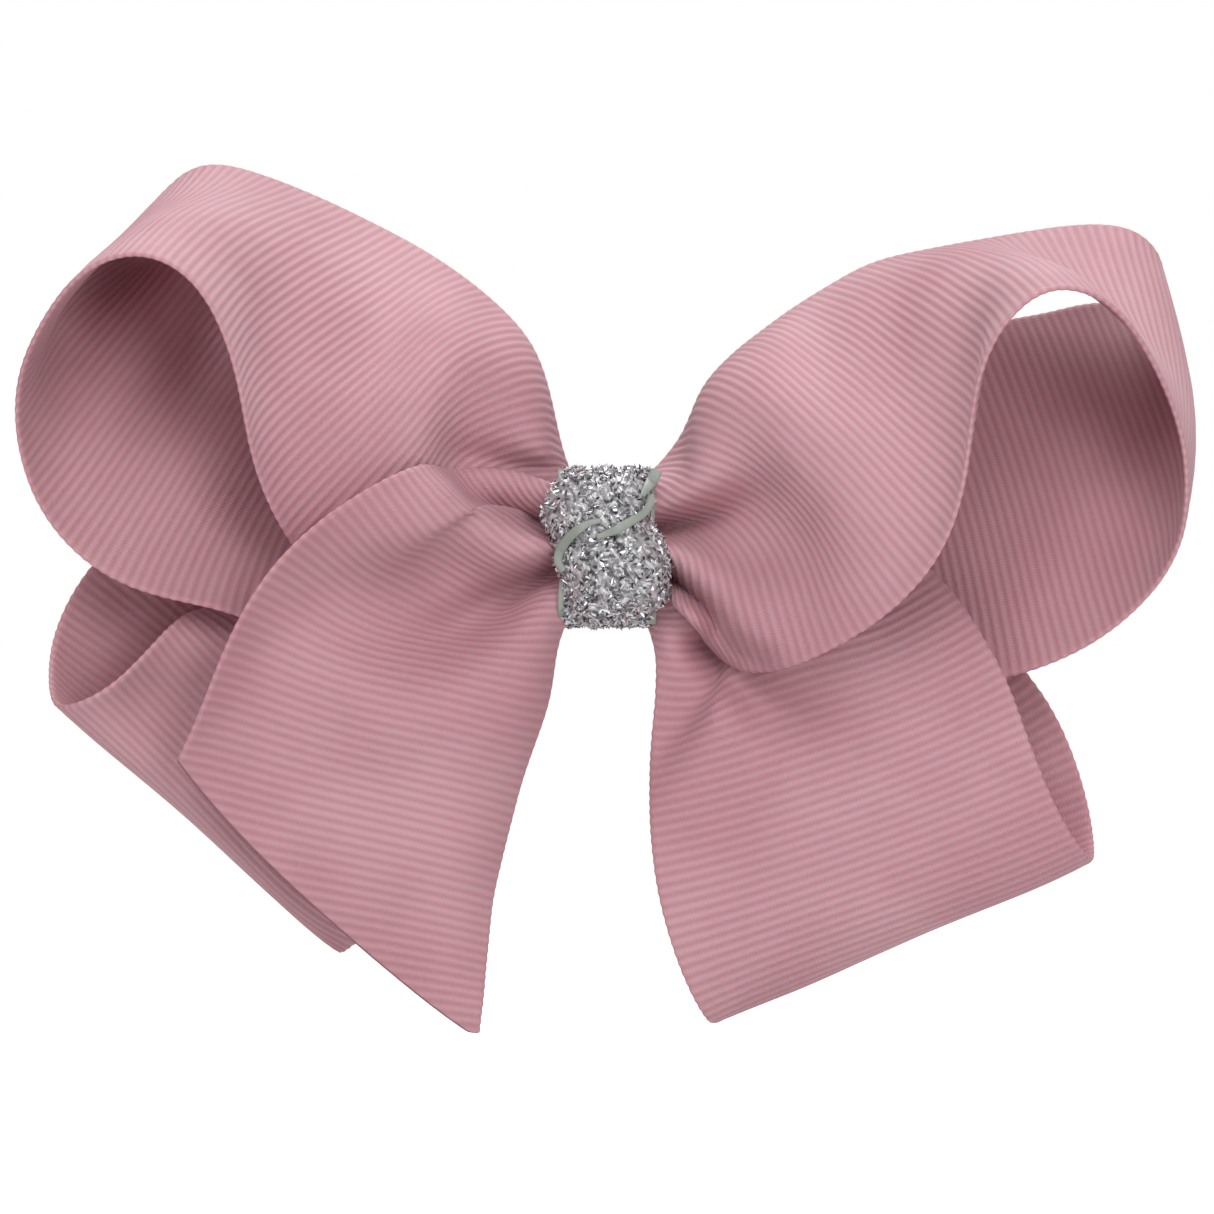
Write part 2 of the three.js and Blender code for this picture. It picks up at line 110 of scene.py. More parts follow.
# ---- how each length of ribbon hangs ------------------------------------------------------------
# near and far are the ribbon's two selvedges, front to back of the loop: (s, x, y, z), where s is the
# length along the ribbon from the loop's outer turn and y counts from BUNDLE_Y. near_seen and far_seen
# are outlines (x, z) that a selvedge keeps to between two values of s, as it is seen from the front, and
# walls are lines that the sheet stays on the left of. front and back are the pleats (y, z) in which the
# ribbon enters the pinch, near to far.
SHAPES = {}
SHAPES["tail_front"] = dict(
    side=-1,
    near=[
        (-57, -3.6, -2.5, 6.6), (-48, -11, -7, 7.8), (-40, -19, -10, 7.6), (-30, -27.4, -12.4, 3.2),
        (-20, -34.4, -13.4, -4.6), (-10, -38.8, -12.6, -13.6), (0, -41.6, -10.6, -23.6),
        (10, -43.5, -8.6, -33), (24, -45, -7, -46),
    ],
    far=[
        (-22, -3.6, -2.6, -6.2), (-14.7, -5, -5.4, -10), (-10, -6, -6.2, -14.8), (0, -9, -7, -24.2),
        (10, -11.2, -7, -34), (24, -12.7, -6.4, -48),
    ],
    near_seen=[
        (-46, 1, [
            (-16.2, 8.2), (-20.6, 7), (-25.9, 4.1), (-30.5, 0.5), (-33.2, -2.7), (-35.8, -6.9),
            (-38, -12.4), (-39.5, -16.8), (-40.7, -19.2), (-41.6, -23.6), (-42.2, -26),
        ]),
    ],
    far_seen=[
        (-20, 24, [
            (-4.1, -4.2), (-4.6, -5.1), (-5, -10), (-5.7, -14.8), (-8.4, -22.6), (-10.4, -30.3),
            (-11.3, -34.2), (-12.1, -42.5), (-12.5, -48.3),
        ]),
    ],
    front=[
        (-2.4, 6.8), (-4.2, 6.2), (-4.6, 4.6), (-3.6, 3), (0, 2), (-3.6, 1.2), (-4.6, -0.4),
        (-3.8, -1.8), (-0.6, -2.5), (-3.4, -3.3), (-4.6, -4.8), (-3.2, -6.4),
    ],
    back=None,
)
SHAPES["upper_left"] = dict(
    side=-1,
    near=[
        (-74, -3.6, -2, -4.5), (-64, -12, -4.5, -7.5), (-54, -21, -8.5, -7), (-46, -28, -12, -2.4),
        (-38, -33, -15, 4), (-28, -35.3, -17.4, 14.3), (-20, -37.5, -18.4, 22),
        (-13, -41.5, -18.6, 27.4), (-7, -46.6, -18.4, 28.6), (0, -52, -17.6, 25),
        (10, -56.9, -15.6, 15.7), (20, -56, -13, 6.4), (30, -50.6, -10, -1.6), (42, -39.5, -6.6, -5.3),
        (54, -27.5, -3.6, -6.2), (66, -15.5, -1.2, -5.4), (78, -3.6, 0.8, -3.6),
    ],
    far=[
        (-53, -3.6, 1, 6.6), (-46, -5.4, -2, 13), (-38, -8.5, 1, 20), (-28, -15.2, 7, 26.4),
        (-20, -22, 11.5, 30.6), (-13, -28.5, 14, 34), (-7, -34, 15.4, 36.3), (0, -40.6, 16.4, 36.8),
        (8, -43.6, 17, 34.6), (16, -41.4, 16.6, 31.6), (26, -35.6, 15.4, 27.4), (36, -29, 13, 23.2),
        (48, -20.5, 9.4, 15.6), (58, -11.6, 5, 10.6), (67, -3.6, 1.6, 5.2),
    ],
    near_seen=[
        (-47, 46, [
            (-27.8, -2.7), (-30.7, 0.2), (-33.5, 5.5), (-34.6, 9.4), (-35.3, 14.3), (-36.1, 18.1),
            (-38, 23), (-40.4, 26.4), (-42.9, 28), (-45.1, 28.8), (-48.4, 28.2), (-51.4, 26.6),
            (-53.5, 23.9), (-55.4, 20.7), (-56.8, 18.2), (-57.4, 15.7), (-57.6, 13.2), (-57, 8.3),
            (-55.5, 3.9), (-53.6, 0.9), (-51, -1.9), (-48.5, -3.6), (-44.4, -4.8), (-39.5, -5.5),
            (-35.8, -5.9),
        ]),
    ],
    far_seen=[
        (-50, 1, [
            (-3.8, 6.5), (-4.2, 8.4), (-4.9, 11.3), (-6, 16.2), (-7.3, 19.6), (-9.4, 22.2),
            (-12.3, 24.9), (-16.2, 27.8), (-20.1, 30.1), (-26.9, 33.4), (-31.7, 35.4), (-36.6, 37.1),
            (-39, 37.4), (-40.6, 36.9), (-41.4, 36),
        ]),
    ],
    walls=[((-40.4, 36.9), (-48.6, 28.3))],
    front=[
        (-1.6, -4.6), (-0.6, -3.6), (-2.4, -2.4), (-2, -0.8), (0.9, 0.4), (-3, 1.4), (-2.4, 3.2),
        (0.6, 4.3), (-2.8, 5.4), (-1.8, 6.8), (1.2, 6.9),
    ],
    back=[
        (0.8, -4.6), (2.2, -3.4), (0.8, -2), (2.2, -0.6), (0.8, 0.8), (2.2, 2.2), (1, 3.8), (2, 5.4),
    ],
)
SHAPES["upper_right"] = dict(
    side=1,
    near=[
        (-88, 3.6, -3.6, -4.2), (-80, 9, -8, -9), (-72, 14.6, -11, -12.4), (-63, 21.6, -14, -10),
        (-52, 30.4, -16.5, -3.7), (-42, 34.7, -18, 6.5), (-32, 36, -18.6, 16), (-22, 41, -19, 24.2),
        (-15, 47.3, -18.8, 24.3), (-8, 52.7, -17.8, 18.6), (0, 56.3, -16, 10.4), (8, 56.6, -13.6, 3.3),
        (17, 53.5, -10.8, -5), (30, 42, -6, -12.4), (42, 31, -2, -12), (56, 18, 0, -8.5),
        (72, 3.6, 0.8, -4.3),
    ],
    far=[
        (-60, 3.6, 1, 6.4), (-50, 8.1, -2, 13.8), (-42, 13, 1, 19.1), (-32, 19.5, 6, 24),
        (-22, 29.5, 11, 28.3), (-12, 39.5, 14, 30.2), (-5, 47.5, 15.5, 31.4), (0, 51.7, 16.4, 30.9),
        (6, 53.4, 17.4, 27.5), (12, 51.5, 17.6, 24.6), (20, 44.5, 15.5, 23), (30, 36, 12.5, 21),
        (42, 25, 9, 17.1), (54, 13.6, 5, 11.3), (64, 3.6, 1.6, 5.2),
    ],
    near_seen=[
        (-80, 33, [
            (5.9, -4.2), (9, -9), (12.4, -11.7), (14.6, -12.4), (17.8, -11.7), (21.6, -10),
            (26.5, -7.3), (30.4, -3.7), (33.3, 0.7), (34.7, 6.5), (35.2, 11.3), (35.7, 15.2),
            (36.7, 19.1), (38.6, 22), (41, 24.5), (43.9, 25.7), (47.4, 24.8), (50.3, 22.4),
            (52.7, 18.6), (54.6, 14.7), (56, 10.4), (56.3, 6.5), (56.2, 3.3), (55.6, -0.2),
            (53.5, -4), (49.3, -8.1), (45.4, -10.6), (41.7, -12), (38.6, -11.7),
        ]),
    ],
    far_seen=[
        (-56, 1, [
            (5.8, 6), (6.4, 7.5), (7.7, 10.4), (8.7, 13.8), (9.3, 15.4), (12.9, 19.1), (18.7, 23.5),
            (25.5, 27.6), (28.4, 28.2), (38.1, 30), (43.9, 31.1), (48.8, 31.5), (51.7, 30.9),
            (52.7, 29.8),
        ]),
        (13, 24, [
            (48.8, 24.7), (47.5, 24), (43, 22.7), (38.8, 22), (36.2, 21.6),
        ]),
    ],
    walls=[((57.1, 14), (53.4, 30))],
    front=[
        (-2.4, -6.2), (-4.4, -5.2), (-3.2, -3.8), (0.2, -3.1), (-3.6, -2.2), (-4.6, -0.6), (-3.4, 0.8),
        (0.6, 1.7), (-3.4, 2.8), (-4.2, 4.6), (-2.4, 6.2), (1, 6.4),
    ],
    back=[
        (2, -4.6), (0.8, -3.4), (2.2, -2), (0.8, -0.6), (2.2, 0.8), (0.8, 2.2), (2.2, 3.8), (1, 5.4),
    ],
)
SHAPES["lower_right"] = dict(
    side=1,
    near=[
        (-64, 3.6, 0.4, 3.2), (-54, 12, -1.6, 3.4), (-45, 20.5, -4, 1.8), (-32, 31.8, -6.6, -2.7),
        (-23, 37.2, -8, -10), (-12, 41.8, -9, -21), (-5, 45, -8.6, -27.6), (0, 47, -6.6, -30.6),
        (5, 47.6, -2.4, -30.4), (11, 46.8, 1.6, -26.4), (20, 45.2, 4, -19), (30, 41.5, 5.4, -10.5),
        (44, 27, 5.4, -3), (66, 3.6, 3, 2.4),
    ],
    far=[
        (-36, 3.6, -1.6, -6), (-31, 5.3, -4, -10), (-24, 4.9, -4.8, -16.8), (-13.5, 4.7, -5.6, -27.5),
        (-6.7, 5.6, -6, -34.2), (-0.6, 7.3, -5.8, -40.2), (5.5, 9.6, -4.4, -45.7),
        (10.5, 11.6, -0.6, -46.6), (16.5, 12.4, 2.6, -42.4), (25, 12.6, 4.6, -34), (35, 11.2, 5, -24),
        (45, 7.6, 4.4, -14), (55, 3.6, 3, -4.6),
    ],
    near_seen=[
        (-33, 0, [
            (30.4, -1.5), (31.8, -2.7), (34.2, -5.1), (37.2, -10), (39, -12.9), (40.1, -16.8),
            (41.5, -20.7), (43.5, -25.5), (45.4, -29.4), (46.7, -30.6),
        ]),
        (3, 26, [
            (47, -30.4), (47.3, -28.4), (47.1, -24.5), (46.2, -20.7), (45, -15.8), (43.8, -12.2),
            (42.7, -9),
        ]),
    ],
    far_seen=[
        (-33, 8, [
            (5.3, -5.1), (5.1, -7.1), (5.2, -10), (4.7, -16.8), (4.2, -20.7), (4.2, -27.5),
            (4.9, -34.2), (6.1, -40.1), (7.1, -43), (8.5, -45.9), (9.4, -46.6),
        ]),
        (14, 52, [
            (9.5, -45.5), (10.5, -38), (9.6, -28), (8.2, -18), (6.5, -10), (4, -5),
        ]),
    ],
    walls=[((9.4, -46.8), (46.9, -31.1))],
    front=[
        (1.4, 3.4), (-0.8, 2.6), (-1.6, 0.6), (-0.8, -1.4), (1.4, -2.4), (-1.8, -3.2), (-2.6, -4.8),
        (-1, -6.4),
    ],
    back=[
        (3.2, 2.4), (4.2, 1.4), (2.8, 0.2), (4.2, -1), (2.8, -2.2), (4.2, -3.4), (3, -4.6),
    ],
)
SHAPES["lower_left"] = dict(
    side=-1,
    near=[
        (-60, -3.6, 2.4, 2.6), (-50, -14, 1.6, 1.8), (-38, -26, 0.4, -1.8), (-28, -35, -1, -5.8),
        (-18, -42.5, -2.4, -8.6), (-8, -49.7, -3, -15.1), (0, -53.1, -0.6, -16), (6, -53.9, 3, -12.6),
        (14, -53, 5.4, -4.5), (24, -50.2, 7, 3), (40, -36, 7, 5), (68, -3.6, 3.6, 2.4),
    ],
    far=[
        (-46, -3.6, 1.4, -5), (-38, -7.5, 1, -12), (-28, -12.4, 0.4, -21), (-18, -17.6, 0, -29.6),
        (-8, -22.6, 0.2, -37.6), (0, -24.8, 2, -40), (6, -25.2, 4, -36.6), (14, -21.6, 5, -29.6),
        (24, -17, 5.6, -20.6), (36, -10.6, 5, -11), (48, -3.6, 3.6, -4.4),
    ],
    near_seen=[
        (-32, 0, [
            (-33.7, -6.3), (-36.1, -5.9), (-40, -6.3), (-41.9, -7.6), (-43.8, -9.5), (-45.8, -11.4),
            (-47.7, -13.9), (-49.7, -15.1), (-52.6, -16.2), (-53.1, -16),
        ]),
        (1, 22, [
            (-53.1, -16), (-53.9, -14.8), (-54.1, -11.9), (-53.8, -9), (-53, -5.1), (-51.8, -1.9),
            (-51, 0.2), (-50, 3),
        ]),
    ],
    far_seen=[
        (-40, -5, [
            (-4.5, -5), (-9, -12), (-13.5, -21), (-18.5, -29.6), (-23, -37.6),
        ]),
        (-1, 1, [
            (-26.6, -40.2), (-24.6, -40.6),
        ]),
        (2, 50, [
            (-24.9, -39.6), (-26.9, -32.3), (-22, -20.7), (-13.3, -11), (-4.6, -4.2),
        ]),
    ],
    walls=[((-53.3, -15.6), (-41, -25.7)), ((-41, -25.7), (-25.4, -40.3))],
    front=[
        (1.2, 2.6), (2.4, 1.4), (1, 0.2), (2.4, -1), (1, -2.4), (2.4, -3.6), (1.4, -4.8),
    ],
    back=[
        (3.4, 2.4), (4.4, 1.4), (3, 0.2), (4.4, -1), (3, -2.2), (4.4, -3.4), (3.2, -4.6),
    ],
)

# Valleys pressed into the ribbon of each side near the pinch: a line of (x, z), with the depth and the
# width at each end of it. A negative depth is a rounded ridge. They reach through every layer and fade
# out towards the back of the bundle.
VALLEYS = {
    "left": [
        dict(line=[(-5.2, 1.7), (-10.5, 3.3), (-16, 5.4)], depth=(4.8, 0), width=(1.0, 2.0)),
        dict(line=[(-4.8, -2.0), (-8.1, -3.5), (-11.4, -5.5), (-15.5, -8.6), (-24, -12.9)],
             depth=(5.6, 0), width=(1.2, 3.8)),
        dict(line=[(-4.6, 0), (-12, -2.8), (-20, -6.6), (-30, -9.6)], depth=(-1.2, 0), width=(1.3, 3)),
        dict(line=[(-4.8, 7.4), (-8, 8.0), (-14, 8.9)], depth=(2.6, 1.4), width=(1.0, 1.7)),
    ],
    "right": [
        dict(line=[(5.0, 1.7), (8, 2.5), (13.4, 4.6), (18, 8.2)], depth=(7.4, 0), width=(1.0, 2.7)),
        dict(line=[(5.2, -2.2), (9.1, -5.5), (12.2, -9.3), (15, -10.8)], depth=(6.0, 2.2), width=(0.9, 1.3)),
        dict(line=[(5.9, -4.4), (9.3, -8.6), (12.6, -11.8)], depth=(-1.8, -1.0), width=(1.0, 1.2)),
        dict(line=[(6, -0.4), (14, -3), (24, -3.5)], depth=(-1.4, 0), width=(1.6, 3.4)),
        dict(line=[(9.6, -9.6), (14.0, -13.9), (17.8, -16.5), (26, -19)], depth=(6.0, 0),
             width=(1.7, 4.2)),
        dict(line=[(6.5, -9), (9.5, -14.5), (14, -20)], depth=(-1.2, 0), width=(1.8, 3)),
    ],
}
BUNDLE_BACK, BUNDLE_DEEP = 5.4, 10.0     # y of the last layer, and from the first layer to it


# ---- cloth: a flat grid hung between its selvedges and relaxed ----------------------------------
CELL = 2.4               # size of the relaxed grid's cells
ACROSS = 16
CLEAR = 0.7              # one layer of ribbon to the next


def catmull(points, t):
    """A smooth curve through points (Catmull-Rom), at t counted in points."""
    points = np.asarray(points, float)
    ends = np.vstack([2 * points[0] - points[1], points, 2 * points[-1] - points[-2]])
    i = np.clip(np.floor(t).astype(int), 0, len(points) - 2)
    f = (t - i)[:, None]
    a, b, c, d = ends[i], ends[i + 1], ends[i + 2], ends[i + 3]
    cubic = (2 * a - 5 * b + 4 * c - d) * f**2 + (3 * b - a - 3 * c + d) * f**3
    return 0.5 * (2 * b + (c - a) * f + cubic)


def along(points, s):
    """The place at each s on the smooth line of points (s, x, y, z)."""
    points = np.asarray(points, float)
    return catmull(points[:, 1:], np.interp(s, points[:, 0], np.arange(len(points))))


def length_to(points):
    """Length along a line of points, up to each."""
    return np.r_[0, np.cumsum(np.linalg.norm(np.diff(points, axis=0), axis=1))]


def unit(directions):
    return directions / (np.linalg.norm(directions, axis=-1, keepdims=True) + 1e-12)


def even(line, n):
    """n places, evenly spaced, on a smooth line through the points, and its length."""
    fine = catmull(line, np.linspace(0, len(line) - 1, 240))
    far = length_to(fine)
    at = np.linspace(0, far[-1], n)
    return np.stack([np.interp(at, far, fine[:, k]) for k in range(fine.shape[1])], 1), far[-1]


def seen(p):
    """Where p shows, on the plane through the middle of the bow."""
    k = CAM_AWAY / (CAM_AWAY + p[..., 1])
    return np.stack([p[..., 0] * k, CAM_Z + (p[..., 2] - CAM_Z) * k], -1)


def nearest(p, line):
    """The nearest place to each p on a line of straight pieces, and how far along it, from 0 to 1."""
    a, d = line[:-1], line[1:] - line[:-1]
    t = ((p[:, None] - a) * d).sum(-1) / (d * d).sum(-1)
    t = np.clip(t, 0, 1)
    q = a + t[..., None] * d
    k = ((p[:, None] - q) ** 2).sum(-1).argmin(1)
    rows = np.arange(len(p))
    return q[rows, k], (k + t[rows, k]) / len(a)


def ends_of(shape):
    """s where the near and far selvedges start, and where they stop."""
    return tuple((shape["near"][k][0], shape["far"][k][0]) for k in (0, -1))


def s_grid(shape):
    """s at every point of a shape's grid: rows along the ribbon, columns from near to far."""
    starts, stops = ends_of(shape)
    rows = round((max(stops) - min(starts)) / CELL)
    w = np.linspace(0, 1, ACROSS + 1)
    first, last = (ends[0] + (ends[1] - ends[0]) * w for ends in (starts, stops))
    return first + (last - first) * np.linspace(0, 1, rows + 1)[:, None]


MAP_LOW, MAP_SIZE, MAP_STEP = (-66.0, -54.0), (264, 200), 0.5


def map_cells(p):
    i = ((p[..., 0] - MAP_LOW[0]) / MAP_STEP).astype(int)
    j = ((p[..., 2] - MAP_LOW[1]) / MAP_STEP).astype(int)
    return np.clip(i, 0, MAP_SIZE[0] - 1), np.clip(j, 0, MAP_SIZE[1] - 1)


def depth_map(grid, sign):
    """The furthest y of a grid (sign 1), or minus its nearest y (sign -1), over the front plane."""
    fine = grid
    for _ in range(2):
        n = len(fine)
        t = np.linspace(0, n - 1, (n - 1) * 6 + 1)
        fine = np.stack([catmull(fine[:, j], t) for j in range(fine.shape[1])], 0)
    deep = np.full(MAP_SIZE, -1e9)
    i, j = map_cells(fine)
    np.maximum.at(deep, (i.ravel(), j.ravel()), (sign * fine[..., 1]).ravel())
    grown = deep.copy()
    for shift in ((1, 0), (-1, 0), (0, 1), (0, -1)):
        grown = np.maximum(grown, np.roll(deep, shift, (0, 1)))
    return grown


def pairs(rows, cols, free, s):
    """Groups of point pairs whose distance the weave holds; no point is twice in a group."""
    u = np.broadcast_to(np.linspace(0, RIBBON_W, cols + 1), s.shape)
    groups = []

    def add(first, second, share):
        flat = np.sqrt((s[first] - s[second]) ** 2 + (u[first] - u[second]) ** 2)[..., None]
        both = np.maximum(free[first] + free[second], 1e-9)
        weights = free[first] / both * share, free[second] / both * share
        groups.append([first, second, flat, weights])

    def span(start, stop):
        return slice(start, start + 2 * len(range(start + 1, stop + 1, 2)) - 1, 2)

    def after(start, stop):
        return slice(start + 1, stop + 1, 2)

    for o in (0, 1):
        add((span(o, rows), slice(None)), (after(o, rows), slice(None)), 1.0)
        add((slice(None), span(o, cols)), (slice(None), after(o, cols)), 1.0)
    for i in (0, 1):
        for j in (0, 1):
            add((span(i, rows), span(j, cols)), (after(i, rows), after(j, cols)), 0.6)
            add((after(i, rows), span(j, cols)), (span(i, rows), after(j, cols)), 0.6)
    return groups


PINCH_ROWS = 7           # rows over which the pleats open out


def start_grid(shape, s):
    """Straight ribs between the drawn selvedges, with the pleated ends; and what is held fixed."""
    rows, cols = s.shape[0] - 1, s.shape[1] - 1
    grid = np.zeros((rows + 1, cols + 1, 3))
    for j in range(cols + 1):
        near, far = along(shape["near"], s[:, j]), along(shape["far"], s[:, j])
        grid[:, j] = near + (far - near) * (j / cols)
    held = np.zeros((rows + 1, cols + 1), bool)
    narrow = np.ones(rows + 1)
    for row, step in ((0, 1), (rows, -1)):
        pleats = shape["front" if row == 0 else "back"]
        if pleats is None:
            continue
        line, length = even(pleats, cols + 1)
        grid[row] = np.c_[np.full(cols + 1, shape["side"] * PINCH_X), line]
        held[row] = True
        share = min(1.0, length / math.hypot(RIBBON_W, s[row, 0] - s[row, -1]))
        for r in range(PINCH_ROWS):
            narrow[row + r * step] = share + (1 - share) * r / PINCH_ROWS
        for r in range(1, PINCH_ROWS - 1):
            open_row = grid[row + r * step]
            pleated = grid[row] + (open_row.mean(0) - grid[row].mean(0))
            f = r / (PINCH_ROWS - 1)
            grid[row + r * step] = open_row * f + pleated * (1 - f)
    return grid, held, narrow


STIFF_ALONG, STIFF_ACROSS = 0.06, 0.16
GIVE = (0.94, 1.03)      # how far the size that a cell is pulled to may drift from its flat size
GIVE_RATE = 0.02         # share of a cell's error that the size drifts by at a time
GIVE_FROM, GIVE_EVERY, HOLD_EVERY = 60, 5, 3     # steps
RELAX_STEPS = 1500
KEEP_DRAWN = 0.004       # pull back to the drawn grid, per step


def bend(grid, free, fade):
    """Straightens the sheet a little, along it and then across it."""
    turned = [part.transpose(1, 0, 2) for part in (grid, free, fade)]
    for g, f, stiff in ((grid, free, STIFF_ALONG), (*turned[:2], STIFF_ACROSS * turned[2])):
        turn = ((g[2:] + g[:-2]) * 0.5 - g[1:-1]) * stiff
        g[1:-1] += turn * f[1:-1]
        g[2:] -= turn * 0.5 * f[2:]
        g[:-2] -= turn * 0.5 * f[:-2]


def keep_to_outlines(grid, free, outlines):
    for rows, col, line in outlines:
        p = grid[rows, col]
        q, _ = nearest(seen(p), line)
        k = (CAM_AWAY + p[:, 1]) / CAM_AWAY
        pull = 0.5 * free[rows, col, 0]
        grid[rows, col, 0] += (q[:, 0] * k - p[:, 0]) * pull
        grid[rows, col, 2] += (CAM_Z + (q[:, 1] - CAM_Z) * k - p[:, 2]) * pull


def keep_inside(grid, free, walls):
    """Keeps the sheet, as seen, on the left of each wall's line."""
    for start, stop in walls:
        a, d = np.array(start), np.array(stop) - np.array(start)
        length = np.linalg.norm(d)
        left = np.array([-d[1], d[0]]) / length
        off, t = (seen(grid) - a) @ left, (seen(grid) - a) @ d / length**2
        out = np.where((off < 0) & (t > 0) & (t < 1), off, 0) * free[..., 0] * 0.7
        grid[..., 0] -= out * left[0]
        grid[..., 2] -= out * left[1]


def keep_layers(grid, free, layers):
    """sign 1 keeps the rows behind a layer's depth map, and -1 in front of it."""
    for deep, sign, rows in layers:
        i, j = map_cells(grid)
        limit = sign * (deep[i, j] + CLEAR)
        over = (sign * grid[..., 1] < sign * limit) & (abs(limit) < 1e6) & rows[:, None]
        push = np.where(over, 0.5 * (limit - grid[..., 1]), 0)
        grid[..., 1] += push * free[..., 0]


def relax(shape, layers=()):
    """The shape's grid, relaxed towards its flat size while it is held to its outlines."""
    s = s_grid(shape)
    rows, cols = s.shape[0] - 1, s.shape[1] - 1
    grid, held, narrow = start_grid(shape, s)
    drawn = grid.copy()
    free = (~held).astype(float)[..., None]
    pull_back = KEEP_DRAWN * np.array([0.3, 1, 0.3]) * free
    groups = pairs(rows, cols, free, s)
    for group in groups:
        across = group[0][1] != slice(None) or group[1][1] != slice(None)
        if across:
            squeeze = narrow[group[0][0]] if group[0][0] == slice(None) else (narrow[group[0][0]] + 1) / 2
            group[2] = group[2] * squeeze[:, None, None]
    resting = [group[2].copy() for group in groups]
    outlines = []
    for name, col in (("near_seen", 0), ("far_seen", cols)):
        for low, high, line in shape.get(name, []):
            which = np.where((s[:, col] >= low) & (s[:, col] <= high))[0]
            outlines.append((which, col, np.asarray(line, float)))
    fade = np.ones((rows + 1, 1, 1))
    for r in range(PINCH_ROWS + 1):
        fade[r] = r / (PINCH_ROWS + 1)
        if shape["back"] is not None:
            fade[rows - r] = r / (PINCH_ROWS + 1)
    for step in range(RELAX_STEPS):
        grid += (drawn - grid) * pull_back
        bend(grid, free, fade)
        if step % HOLD_EVERY == 0:
            keep_to_outlines(grid, free, outlines)
            keep_inside(grid, free, shape.get("walls", []))
            keep_layers(grid, free, layers)
        for group, rest in zip(groups, resting):
            first, second, length, (w1, w2) = group
            gap = grid[second] - grid[first]
            now = np.sqrt((gap * gap).sum(-1, keepdims=True)) + 1e-9
            move = gap * ((now - length) / now)
            grid[first] += move * w1
            grid[second] -= move * w2
            if step % GIVE_EVERY == 0 and step > GIVE_FROM:
                group[2] = np.clip(length + (now - length) * GIVE_RATE, rest * GIVE[0], rest * GIVE[1])
    for _ in range(3):
        for g, f in ((grid, free), (grid.transpose(1, 0, 2), free.transpose(1, 0, 2))):
            g[1:-1] += ((g[2:] + g[:-2]) * 0.5 - g[1:-1]) * 0.25 * f[1:-1]
    return grid


def relax_all():
    """Every length of ribbon, front layers first. Each is pushed off earlier ones on its own side.

    The push doesn't part them fully: near the pinch, layers still cut into one another.
    """
    done = {"tail_front": relax(SHAPES["tail_front"])}
    tail = depth_map(done["tail_front"][2:], 1)

    def rows_of(name, high=2.0):
        return np.linspace(0, 1, len(s_grid(SHAPES[name]))) < high

    done["upper_left"] = relax(SHAPES["upper_left"], [(tail, 1, rows_of("upper_left"))])
    done["upper_right"] = relax(SHAPES["upper_right"])
    loop = done["upper_right"]
    half = len(loop) // 2
    front, back = depth_map(loop[2:half - 4], 1), depth_map(loop[half + 6:-3], -1)
    done["lower_right"] = relax(
        SHAPES["lower_right"],
        [(front, 1, rows_of("lower_right", high=0.5)), (back, -1, rows_of("lower_right", high=0.42))],
    )
    above = np.maximum(tail, depth_map(done["upper_left"][2:-2], 1))
    done["lower_left"] = relax(SHAPES["lower_left"], [(above, 1, rows_of("lower_left"))])
    return done


# ---- fine ribbon meshes -------------------------------------------------------------------------
EDGE_COLUMNS = np.array([0.0, 0.004, 0.010, 0.018, 0.028])
INNER_COLUMNS = 34
COLUMNS = np.r_[EDGE_COLUMNS, np.linspace(0.05, 0.95, INNER_COLUMNS), 1 - EDGE_COLUMNS[::-1]]


def bicubic(grid, i, j):
    """Smooth values of grid at fractional rows i and columns j."""
    rows, cols = grid.shape[0], grid.shape[1]
    wide = np.concatenate([2 * grid[:1] - grid[1:2], grid, 2 * grid[-1:] - grid[-2:-1]], 0)
    wide = np.concatenate([2 * wide[:, :1] - wide[:, 1:2], wide, 2 * wide[:, -1:] - wide[:, -2:-1]], 1)
    i0 = np.clip(np.floor(i).astype(int), 0, rows - 2)
    j0 = np.clip(np.floor(j).astype(int), 0, cols - 2)

    def weights(f):
        return (
            -0.5 * f + f**2 - 0.5 * f**3,
            1 - 2.5 * f**2 + 1.5 * f**3,
            0.5 * f + 2 * f**2 - 1.5 * f**3,
            -0.5 * f**2 + 0.5 * f**3,
        )

    wi, wj = weights(i - i0), weights(j - j0)
    out = 0
    for a in range(4):
        for b in range(4):
            out = out + (wi[a] * wj[b])[..., None] * wide[i0 + a, j0 + b]
    return out


def limits(line, s, lower):
    """The share of the width, lowest and highest, where s is past a slanted end line of the ribbon."""
    start, stop = line
    low, high = np.zeros_like(s), np.ones_like(s)
    if abs(stop - start) < 1e-9:
        return low, high
    w = np.clip((s - start) / (stop - start), 0, 1)
    if (stop > start) == lower:
        return low, w
    return w, high


def ribs(s):
    """Height of the ribs, from 0 in the grooves to 1."""
    return np.sin(np.pi * s / RIB_PITCH) ** 2


def press_valleys(points, valleys):
    """Moves points away from the viewer along each valley."""
    flat = points[..., [0, 2]].reshape(-1, 2)
    press = np.zeros(points.shape[:-1])
    for valley in valleys:
        line, _ = even(valley["line"], 24)
        q, t = nearest(flat, line)
        start, stop = valley["depth"]
        narrow, wide = valley["width"]
        off = ((flat - q) ** 2).sum(1) / (narrow + (wide - narrow) * t) ** 2
        press += ((start + (stop - start) * t) * np.exp(-off)).reshape(press.shape)
    share = np.clip((BUNDLE_BACK - points[..., 1]) / BUNDLE_DEEP, 0, 1)
    points[..., 1] += press * share
    return points


CLIP_X, CLIP_Z = 25.0, 5.0               # half sizes of the room that the clip takes behind the bow
CLIP_Y = BUNDLE_BACK - 0.2               # how deep cloth may lie in front of the lining
CLIP_EASE = 1.2                          # how steeply it may deepen past the room's long sides


